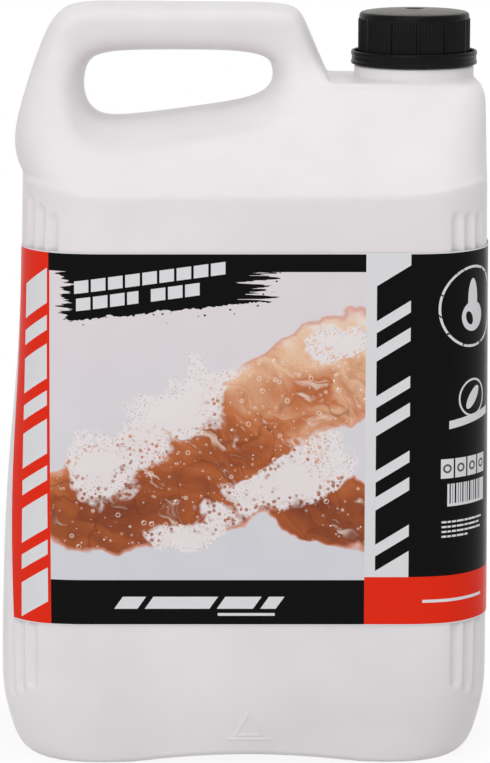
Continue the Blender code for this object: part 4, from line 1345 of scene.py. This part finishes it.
def side_marks(p, settings):
    """Small white devices on the black side panel: a drop in a ring, a badge, panels, bars and lines."""
    n, white, black = p.n, settings.white, settings.black
    flat = n.combine(p.u, p.v)
    brushed = n.more(n.noise(flat, 420.0, 3.0, 0.6), 0.40)
    p.lay(n.times(p.ring(*DROP_RING), brushed), white)
    for shape in DROP:
        p.lay(n.more(p.blob(*shape), 0.0), white)
    p.lay(n.more(p.blob(*DROP_GLINT), 0.0), black)
    p.lay(p.ring(*BADGE_RING), white)
    p.lay(n.more(p.blob(*BADGE_LEAF), 0.0), white)
    p.lay(p.box(*BADGE_BAR, slope=0.14), white)
    for column in range(TILE_COUNT):
        left = TILE_LEFT + TILE_PITCH * column
        p.lay(p.box(left, left + TILE_WIDTH, *TILE_HEIGHTS), white)
        p.lay(p.ring(left + TILE_WIDTH / 2, *TILE_RING), linear(96, 94, 92))
    p.lay(p.box(*CODE_PANEL), white)
    left = CODE_LEFT
    for width in CODE_WIDTHS:
        p.lay(p.box(left, left + CODE_UNIT * width, *CODE_HEIGHTS), black)
        left += CODE_UNIT * width + CODE_GAP
    broken = n.more(n.noise(n.combine(n.times(p.u, 900.0), 0.0), 1.0, 1.0), 0.42)
    for wide, z in LINES:
        p.lay(n.times(p.box(LINES_LEFT, LINES_LEFT + wide, z, z + LINE_HEIGHT), broken), white)


def label_material(settings):
    """Printed film, a little glossy, with faint ripples where it is stuck down."""
    material, n, shader = new_material("printed_film", settings.white)
    uv = n.add("ShaderNodeUVMap", uv_map="print").outputs[0]
    split = n.add("ShaderNodeSeparateXYZ", (0, uv)).outputs
    p = Print(n, split[0], split[1], settings.white)
    picture(p, settings)
    brush_stroke(p, settings)
    p.lay(p.box(*RED_STRIP), settings.red)
    slanted_strokes(p, STRIP_STROKES, 0.0600, True, settings.white)
    for bar in (TOP_BAR, BOTTOM_BAR):
        p.lay(p.box(*bar), settings.black)
    block_rows(p, settings)
    for left, wide in FOOT_BARS:
        p.lay(p.box(left, left + wide, *FOOT_BAR_HEIGHTS, lean=0.7), settings.white)
    p.lay(p.box(*FOOT_LINE), settings.white)
    p.lay(p.box(*SIDE_PANEL), settings.black)
    slanted_strokes(p, PANEL_STROKES, 0.0800, False, settings.black)
    side_marks(p, settings)
    p.lay(p.box(*RED_FIELD), settings.red)
    p.lay(p.box(*FIELD_LINE), settings.white)
    for edge in (LABEL_BOTTOM, LABEL_TOP):
        p.lay(p.box(RED_STRIP[0], RED_FIELD[1], edge - MARGIN, edge + MARGIN), settings.white)
    spot = n.places()
    moulded = moulded_surface(n, spot, 1500.0, 40.0, 0.30, 0.08)
    scuffs = scuff_mask(n, spot, 80.0, 0.3)
    n.set(shader["Base Color"], n.mix(n.times(scuffs, 0.12), p.tone, linear(200, 198, 198)))
    n.set(shader["Roughness"], n.math("MULTIPLY_ADD", scuffs, 0.2, moulded["Roughness"]))
    n.set(shader["Normal"], bump(n, moulded["Height"], 0.00012, 0.5))
    shader["Specular IOR Level"].default_value = 0.08
    return material


# Pieces


def neck_meshes():
    """The neck as a solid bar with its bead, its thread, and the bore that goes through it, as meshes."""
    steps = 96
    neck = spun(
        [(0.0, MOUTH_Z)]
        + arc((NECK_RADIUS - MOUTH_EDGE, MOUTH_Z - MOUTH_EDGE), MOUTH_EDGE, 90, 0, 4)
        + [(NECK_RADIUS, BEAD_TOP), (THREAD_CREST, BEAD_TOP - 0.3 * BEAD_HEIGHT), (THREAD_CREST, BEAD_BOTTOM)]
        + [(NECK_RADIUS, BEAD_BOTTOM), (NECK_RADIUS, COLLAR_TOP)]
        + arc((COLLAR_RADIUS - COLLAR_EDGE, COLLAR_TOP - COLLAR_EDGE), COLLAR_EDGE, 90, 0, 5)
        + [(COLLAR_RADIUS, PLATEAU_Z - COLLAR_ROOT), (0.0, PLATEAU_Z - COLLAR_ROOT)],
        steps,
    )
    wide = COLLAR_RADIUS - NECK_WALL
    bore = spun(
        [
            (0.0, MOUTH_Z + CUT_PAST),
            (NECK_BORE, MOUTH_Z + CUT_PAST),
            (NECK_BORE, COLLAR_TOP - 0.5 * NECK_WALL),
            (wide, COLLAR_TOP - 1.5 * NECK_WALL),
            (wide, PLATEAU_Z - COLLAR_ROOT - CUT_PAST),
            (0.0, PLATEAU_Z - COLLAR_ROOT - CUT_PAST),
        ],
        steps,
    )
    rise = thread(THREAD_CREST - THREAD_TUBE, THREAD_TUBE, THREAD_START, THREAD_TURNS)
    return mesh_from(neck, "neck"), rise, mesh_from(bore, "bore")


class PACK_OT_canister(bpy.types.Operator):
    """Builds the hollow canister with its handle, flutes, neck and thread"""

    bl_idname = "pack.canister"
    bl_label = "Canister"

    def execute(self, context):
        settings = context.scene.pack.canister
        bm = skin(3, FINE_RIM)
        for low, high in FINE_BANDS:
            split_upright_edges(bm, low, high, 2)
        split_region(bm, at_mark, 5)
        split_region(bm, at_neck, 1)
        carve(bm, settings)
        outer = mesh_from(bm, "outer")
        inner = skin(1, COARSE_RIM)
        move_out(inner, -WALL)
        neck, rise, bore = neck_meshes()
        steps = (
            ("UNION", neck),
            ("UNION", rise),
            ("DIFFERENCE", mesh_from(inner, "inner")),
            ("DIFFERENCE", bore),
        )
        mesh = combined(outer, steps, "canister_shell")
        material = canister_material(settings)
        finished("canister_shell", mesh, "canister", "canister", material)
        return {"FINISHED"}


class PACK_OT_paste(bpy.types.Operator):
    """Builds the contents, level with the foot of the handle and folded on top"""

    bl_idname = "pack.paste"
    bl_label = "Cleaning paste"

    def execute(self, context):
        settings = context.scene.pack.paste
        bm = skin(1, COARSE_RIM)
        move_out(bm, -(WALL + PASTE_GAP))
        cut = bmesh.ops.bisect_plane(
            bm, geom=[*bm.verts, *bm.edges, *bm.faces], plane_co=(0.0, 0.0, PASTE_LEVEL),
            plane_no=(0.0, 0.0, 1.0), clear_outer=True,
        )["geom_cut"]
        rim = [g for g in cut if isinstance(g, bmesh.types.BMEdge)]
        top = bmesh.ops.contextual_create(bm, geom=rim)["faces"]
        fan = bmesh.ops.poke(bm, faces=top)["faces"]
        spokes = {edge for face in fan for edge in face.edges if edge not in rim}
        bmesh.ops.subdivide_edges(bm, edges=list(spokes), cuts=14, use_grid_fill=True)
        for vert in bm.verts:
            x, y, z = vert.co
            if z > PASTE_LEVEL - 0.0001 and not vert.is_boundary:
                inset = min(1.0, 3.0 * (1 - max(abs(x) / HALF_WIDTH, abs(y) / 0.05)))
                swirl = math.sin(130 * x + 5 * math.sin(90 * y)) + 0.6 * math.sin(170 * y + 60 * x)
                vert.co.z = z + settings.ripple * max(inset, 0.0) * (swirl / 1.6 - 1.0)
        bmesh.ops.recalc_face_normals(bm, faces=bm.faces)
        mesh = mesh_from(bm, "paste_fill")
        finished("paste_fill", mesh, "canister", "cleaning_paste", paste_material(settings))
        return {"FINISHED"}


def corner_point(z, angle):
    """A point on the front left corner, at an angle from the front, and the direction out through it."""
    turn = math.radians(angle)
    radial = Vector((-math.sin(turn), -math.cos(turn), 0.0))
    centre = Vector((handle_side(z) + CORNER_RADIUS, CORNER_RADIUS - HALF_DEPTH, z))
    return centre + CORNER_RADIUS * radial, radial


def left_part(bm):
    """The geometry that lies wholly left of the middle."""
    edges = [edge for edge in bm.edges if all(v.co.x < 0 for v in edge.verts)]
    faces = [face for face in bm.faces if all(v.co.x < 0 for v in face.verts)]
    return [v for v in bm.verts if v.co.x < 0] + edges + faces


def developed(co):
    """Distance along the film from mid front, in metres, of a point on the body."""
    right = neck_side(co.z) - CORNER_RADIUS
    left = handle_side(co.z) + CORNER_RADIUS
    behind = co.y + HALF_DEPTH - CORNER_RADIUS
    if co.x > right and behind > 0:
        return right + CORNER_RADIUS * math.pi / 2 + behind
    if co.x > right:
        return right + CORNER_RADIUS * math.atan2(co.x - right, -behind)
    if co.x < left:
        return left - CORNER_RADIUS * math.atan2(left - co.x, -behind)
    return co.x


class PACK_OT_label(bpy.types.Operator):
    """Builds the printed film round the front and the right side"""

    bl_idname = "pack.label"
    bl_label = "Label"

    def execute(self, context):
        settings = context.scene.pack.label
        bm = skin(3, FINE_RIM)
        move_out(bm, GAP)
        cuts = (
            (Vector((0, 0, LABEL_TOP)), Vector((0, 0, 1))),
            (Vector((0, 0, LABEL_BOTTOM)), Vector((0, 0, -1))),
            (Vector((0, LABEL_END_Y, 0)), Vector((0, 1, 0))),
        )
        for point, normal in cuts:
            bmesh.ops.bisect_plane(
                bm, geom=[*bm.verts, *bm.edges, *bm.faces], plane_co=point, plane_no=normal, clear_outer=True
            )
        top, radial = corner_point(LABEL_TOP, LABEL_ANGLE_TOP)
        low, _ = corner_point(LABEL_BOTTOM, LABEL_ANGLE_BOTTOM)
        edge = radial.cross(top - low)
        bmesh.ops.bisect_plane(bm, geom=left_part(bm), plane_co=top, plane_no=edge, clear_outer=True)
        print_map = bm.loops.layers.uv.new("print")
        for face in bm.faces:
            for loop in face.loops:
                loop[print_map].uv = (developed(loop.vert.co), loop.vert.co.z)
        film = add_object("film", mesh_from(bm, "film"))
        thickness = film.modifiers.new("Film", "SOLIDIFY")
        thickness.thickness = settings.thickness
        thickness.offset = 1.0
        mesh = applied(film, "label_film")
        finished("label_film", mesh, "canister", "label", label_material(settings))
        return {"FINISHED"}


def rib_height(angle, settings):
    """How far the skirt stands out at this angle: a broad rib starts each sector, then fine ones."""
    place_in_sector = (angle / math.tau * CAP_SECTORS) % 1.0 * (FINE_RIBS + 1)
    rib, share = int(place_in_sector), place_in_sector % 1.0
    wave = math.sin(math.pi * share)
    if rib == 0:
        return settings.rib * min(1.0, 1.9 * wave)
    return settings.fine_rib * wave * wave


class PACK_OT_cap(bpy.types.Operator):
    """Builds the ribbed screw cap with its inner thread"""

    bl_idname = "pack.cap"
    bl_label = "Screw cap"

    def execute(self, context):
        settings = context.scene.pack.closure
        dome_top = CAP_RIM_Z + CAP_DOME
        grip_top = CAP_RIM_Z - GRIP_DROP
        profile = [(0.0, dome_top - DIMPLE_DEPTH), (0.45 * DIMPLE_RADIUS, dome_top - DIMPLE_DEPTH)]
        profile += [(0.70 * DIMPLE_RADIUS, dome_top - 0.85 * DIMPLE_DEPTH)]
        profile += [(0.90 * DIMPLE_RADIUS, dome_top - 0.25 * DIMPLE_DEPTH), (DIMPLE_RADIUS, dome_top)]
        for share in (0.35, 0.55, 0.75, 0.86):
            profile.append((share * CAP_RADIUS, CAP_RIM_Z + CAP_DOME * (1 - share * share)))
        profile += arc((CAP_RADIUS - CAP_EDGE, CAP_RIM_Z - CAP_EDGE), CAP_EDGE, 80, 0, 7)
        profile += [(CAP_RADIUS, grip_top + 0.0001)]
        profile += [(CAP_RADIUS, grip_top - 0.0006), (CAP_RADIUS, SKIRT_BOTTOM + 0.0004)]
        profile += [(CAP_RADIUS, SKIRT_BOTTOM), (CAP_BORE, SKIRT_BOTTOM), (CAP_BORE, CAP_CEILING)]
        profile += [(0.0, CAP_CEILING)]
        bm = spun(profile, CAP_SECTORS * (FINE_RIBS + 1) * settings.steps)
        for vert in bm.verts:
            away = Vector((vert.co.x - NECK_X, vert.co.y, 0.0))
            if away.length > CAP_RADIUS - 0.00002 and vert.co.z < grip_top - 0.0001:
                rise = rib_height(math.atan2(away.y, away.x), settings)
                vert.co += away.normalized() * rise
        start = THREAD_START + THREAD_LEAD / 2
        crest = NECK_RADIUS + THREAD_CLEARANCE + CAP_THREAD_TUBE
        inner = thread(crest, CAP_THREAD_TUBE, start, THREAD_TURNS - 0.5)
        mesh = combined(mesh_from(bm, "cap"), (("UNION", inner),), "cap_shell")
        # The cap's upward faces get painted sheen at this strength
        material = black_material("cap_polypropylene", settings, 0.34, painted_sheen=0.8)
        finished("cap_shell", mesh, "cap", "screw_cap", material, sharp=50)
        return {"FINISHED"}


class PACK_OT_liner(bpy.types.Operator):
    """Builds the foam sealing disc in the cap, with the mouth's ring pressed into it"""

    bl_idname = "pack.liner"
    bl_label = "Cap liner"

    def execute(self, context):
        settings = context.scene.pack.closure
        radius, low = CAP_BORE - GAP, MOUTH_Z + GAP
        rim = radius - LINER_EDGE
        pressed = [
            (NECK_RADIUS, low),
            (NECK_RADIUS - PRESS_SLOPE, low + PRESS_DEPTH),
            (NECK_BORE + PRESS_SLOPE, low + PRESS_DEPTH),
        ]
        profile = (
            [(0.0, low + LINER_THICKNESS)]
            + arc((rim, low + LINER_THICKNESS - LINER_EDGE), LINER_EDGE, 90, 0, 3)
            + arc((rim, low + LINER_EDGE), LINER_EDGE, 0, -90, 3)
            + pressed
            + [(NECK_BORE, low), (0.5 * NECK_BORE, low), (0.0, low)]
        )
        mesh = mesh_from(spun(profile, 96), "liner_disc")
        finished("liner_disc", mesh, "liner", "cap_liner", liner_material(settings))
        return {"FINISHED"}


class PACK_OT_ring(bpy.types.Operator):
    """Builds the tamper ring round the foot of the cap, with its broken bridges"""

    bl_idname = "pack.ring"
    bl_label = "Tamper ring"

    def execute(self, context):
        settings = context.scene.pack.closure
        inner, top = NECK_RADIUS + GAP, RING_BOTTOM + RING_HEIGHT
        bead = RING_LIP / 2
        groove = ((0.0, 0.30), (RING_GROOVE, 0.36), (RING_GROOVE, 0.70), (0.0, 0.76))
        profile = (
            arc((RING_RADIUS - bead, top - bead), bead, 180, 0, 8)
            + [(RING_RADIUS - sunk, lerp(top, RING_BOTTOM, share)) for sunk, share in groove]
            + arc((RING_RADIUS - RING_EDGE, RING_BOTTOM + RING_EDGE), RING_EDGE, 0, -90, 4)
            + [(inner, RING_BOTTOM), (inner, RING_FLOOR_TOP), (RING_RADIUS - RING_LIP, RING_FLOOR_TOP)]
        )
        bm = spun(profile, 192, closed=True)
        posts = bmesh.new()
        middle = (CAP_RADIUS + CAP_BORE) / 2
        for n in range(BRIDGES):
            made = bmesh.ops.create_cube(posts, size=1.0)["verts"]
            bmesh.ops.scale(posts, verts=made, vec=(CAP_WALL, BRIDGE_WIDTH, 2 * BRIDGE_HEIGHT))
            bmesh.ops.translate(posts, verts=made, vec=(NECK_X + middle, 0.0, RING_FLOOR_TOP))
            turn = math.tau * (n + 0.5) / BRIDGES
            cos, sin = math.cos(turn), math.sin(turn)
            for vert in made:
                x, y = vert.co.x - NECK_X, vert.co.y
                vert.co.x, vert.co.y = NECK_X + x * cos - y * sin, x * sin + y * cos
        mesh = combined(mesh_from(bm, "ring"), (("UNION", mesh_from(posts, "posts")),), "ring_band")
        material = black_material("ring_polypropylene", settings, 0.30)
        finished("ring_band", mesh, "canister", "tamper_ring", material)
        return {"FINISHED"}


# Stage
FLOOR_TONE = (0.80, 0.80, 0.80, 1.0)
BACKDROP_TONE = (0.92, 0.92, 0.92, 1.0)
SHEET_SIZE = 8.0
FLOOR_PLACE = (0.0, 0.0, -0.0002)
BACKDROP_PLACE = (0.0, 2.5, 3.0)
LAMP_AIM = (0.0, 0.0, 0.15)
KEY_PLACE, KEY_SIZE = (-0.5, -1.6, 1.1), (1.4, 1.2)
TOP_PLACE, TOP_SIZE = (0.2, -0.1, 1.6), (1.2, 1.0)
CAMERA_SHIFT = 0.0018


def stage_material(name, tone, glow):
    """A pale surface that takes shadows, and that the camera and reflections see nearly white."""
    material = bpy.data.materials.new(name)
    material.use_nodes = True
    n = Nodes(material.node_tree)
    shader = material.node_tree.nodes["Principled BSDF"]
    shader.inputs["Roughness"].default_value = 0.9
    shader.inputs["Specular IOR Level"].default_value = 0.1
    grain = n.noise(n.places(), 3.0, 2.0)
    n.set(shader.inputs["Base Color"], n.mix(grain, tone, tuple(0.985 * c for c in tone[:3]) + (1.0,)))
    ray = n.add("ShaderNodeLightPath").outputs
    mirrored = n.math("MAXIMUM", ray["Is Glossy Ray"], ray["Is Transmission Ray"])
    seen = n.math("MAXIMUM", ray["Is Camera Ray"], mirrored)
    away = n.vector("LENGTH", n.vector("MULTIPLY", n.places(), (1.0, 1.5, 0.0)))
    glow = n.span(away, 0.09, 0.16, glow, 1.0)
    light = n.add("ShaderNodeEmission", ("Color", (1.0, 1.0, 1.0, 1.0)), ("Strength", 1.0))
    mixed = n.add("ShaderNodeMixShader", (0, n.times(seen, glow)))
    output = material.node_tree.nodes["Material Output"]
    n.set(mixed.inputs[1], shader.outputs[0])
    n.set(mixed.inputs[2], light.outputs[0])
    n.set(output.inputs["Surface"], mixed.outputs[0])
    return material


def sheet_object(name, size, place_at, turn, material):
    """A plane of the stage, with its place in its mesh."""
    bm = bmesh.new()
    bmesh.ops.create_grid(bm, x_segments=2, y_segments=2, size=size / 2)
    for vert in bm.verts:
        x, y, _ = vert.co
        vert.co = Vector((x, y, 0.0)) if not turn else Vector((x, 0.0, y))
        vert.co += Vector(place_at)
    obj = add_object(name, mesh_from(bm, name))
    obj.data.materials.append(material)
    return obj


def area_lamp(name, place_at, size, energy):
    lamp = bpy.data.lights.new(name, "AREA")
    lamp.shape = "RECTANGLE"
    lamp.size, lamp.size_y = size
    lamp.energy = energy
    obj = bpy.data.objects.new(name, lamp)
    obj.location = place_at
    obj.rotation_euler = (Vector(LAMP_AIM) - Vector(place_at)).to_track_quat("-Z", "Y").to_euler()
    bpy.context.scene.collection.objects.link(obj)


class PACK_OT_stage(bpy.types.Operator):
    """Sets the floor, the backdrop, the light and the camera"""

    bl_idname = "pack.stage"
    bl_label = "Stage"

    def execute(self, context):
        scene, settings = context.scene, context.scene.pack.stage
        scene.view_settings.view_transform = "Standard"
        floor = stage_material("floor_paper", FLOOR_TONE, 0.90)
        sheet_object("floor", SHEET_SIZE, FLOOR_PLACE, False, floor)
        backdrop = stage_material("backdrop_paper", BACKDROP_TONE, 1.0)
        sheet_object("backdrop", SHEET_SIZE, BACKDROP_PLACE, True, backdrop)
        world = scene.world or bpy.data.worlds.new("studio")
        scene.world = world
        world.use_nodes = True
        n = Nodes(world.node_tree)
        backing = world.node_tree.nodes["Background"]
        backing.inputs["Color"].default_value = (1.0, 1.0, 1.0, 1.0)
        ray = n.add("ShaderNodeLightPath").outputs["Is Camera Ray"]
        strength = n.plus(n.times(ray, 1.0 - settings.world), settings.world)
        n.set(backing.inputs["Strength"], strength)
        area_lamp("key", KEY_PLACE, KEY_SIZE, settings.key)
        area_lamp("top", TOP_PLACE, TOP_SIZE, settings.fill)
        camera = bpy.data.cameras.new("camera")
        camera.lens = settings.lens
        camera.sensor_width = 36.0
        camera.dof.use_dof = False
        camera.shift_x = CAMERA_SHIFT
        viewer = bpy.data.objects.new("camera", camera)
        viewer.location = (0.0, -settings.distance, settings.height)
        viewer.rotation_euler = (math.pi / 2 - settings.pitch, 0.0, 0.0)
        scene.collection.objects.link(viewer)
        scene.camera = viewer
        return {"FINISHED"}


class PACK_PT_sidebar(bpy.types.Panel):
    """Lists the pieces of the canister"""

    bl_idname = "PACK_PT_sidebar"
    bl_label = "Canister"
    bl_space_type = "VIEW_3D"
    bl_region_type = "UI"
    bl_category = "Canister"

    def draw(self, context):
        for operator in OPERATORS:
            self.layout.operator(operator.bl_idname)
        for group in ("canister", "label", "closure", "paste", "stage"):
            settings = getattr(context.scene.pack, group)
            box = self.layout.box()
            for name in settings.bl_rna.properties.keys():
                if name not in ("rna_type", "name"):
                    box.prop(settings, name)


OPERATORS = (
    PACK_OT_canister,
    PACK_OT_paste,
    PACK_OT_label,
    PACK_OT_cap,
    PACK_OT_liner,
    PACK_OT_ring,
    PACK_OT_stage,
)
CLASSES = (
    CanisterSettings,
    LabelSettings,
    ClosureSettings,
    PasteSettings,
    StageSettings,
    PackSettings,
    *OPERATORS,
    PACK_PT_sidebar,
)


def register():
    for cls in CLASSES:
        bpy.utils.register_class(cls)
    bpy.types.Scene.pack = PointerProperty(type=PackSettings)


def unregister():
    del bpy.types.Scene.pack
    for cls in reversed(CLASSES):
        bpy.utils.unregister_class(cls)


def main():
    register()
    bpy.ops.pack.canister()
    bpy.ops.pack.paste()
    bpy.ops.pack.label()
    bpy.ops.pack.cap()
    bpy.ops.pack.liner()
    bpy.ops.pack.ring()
    bpy.ops.pack.stage()


if __name__ == "__main__":
    main()
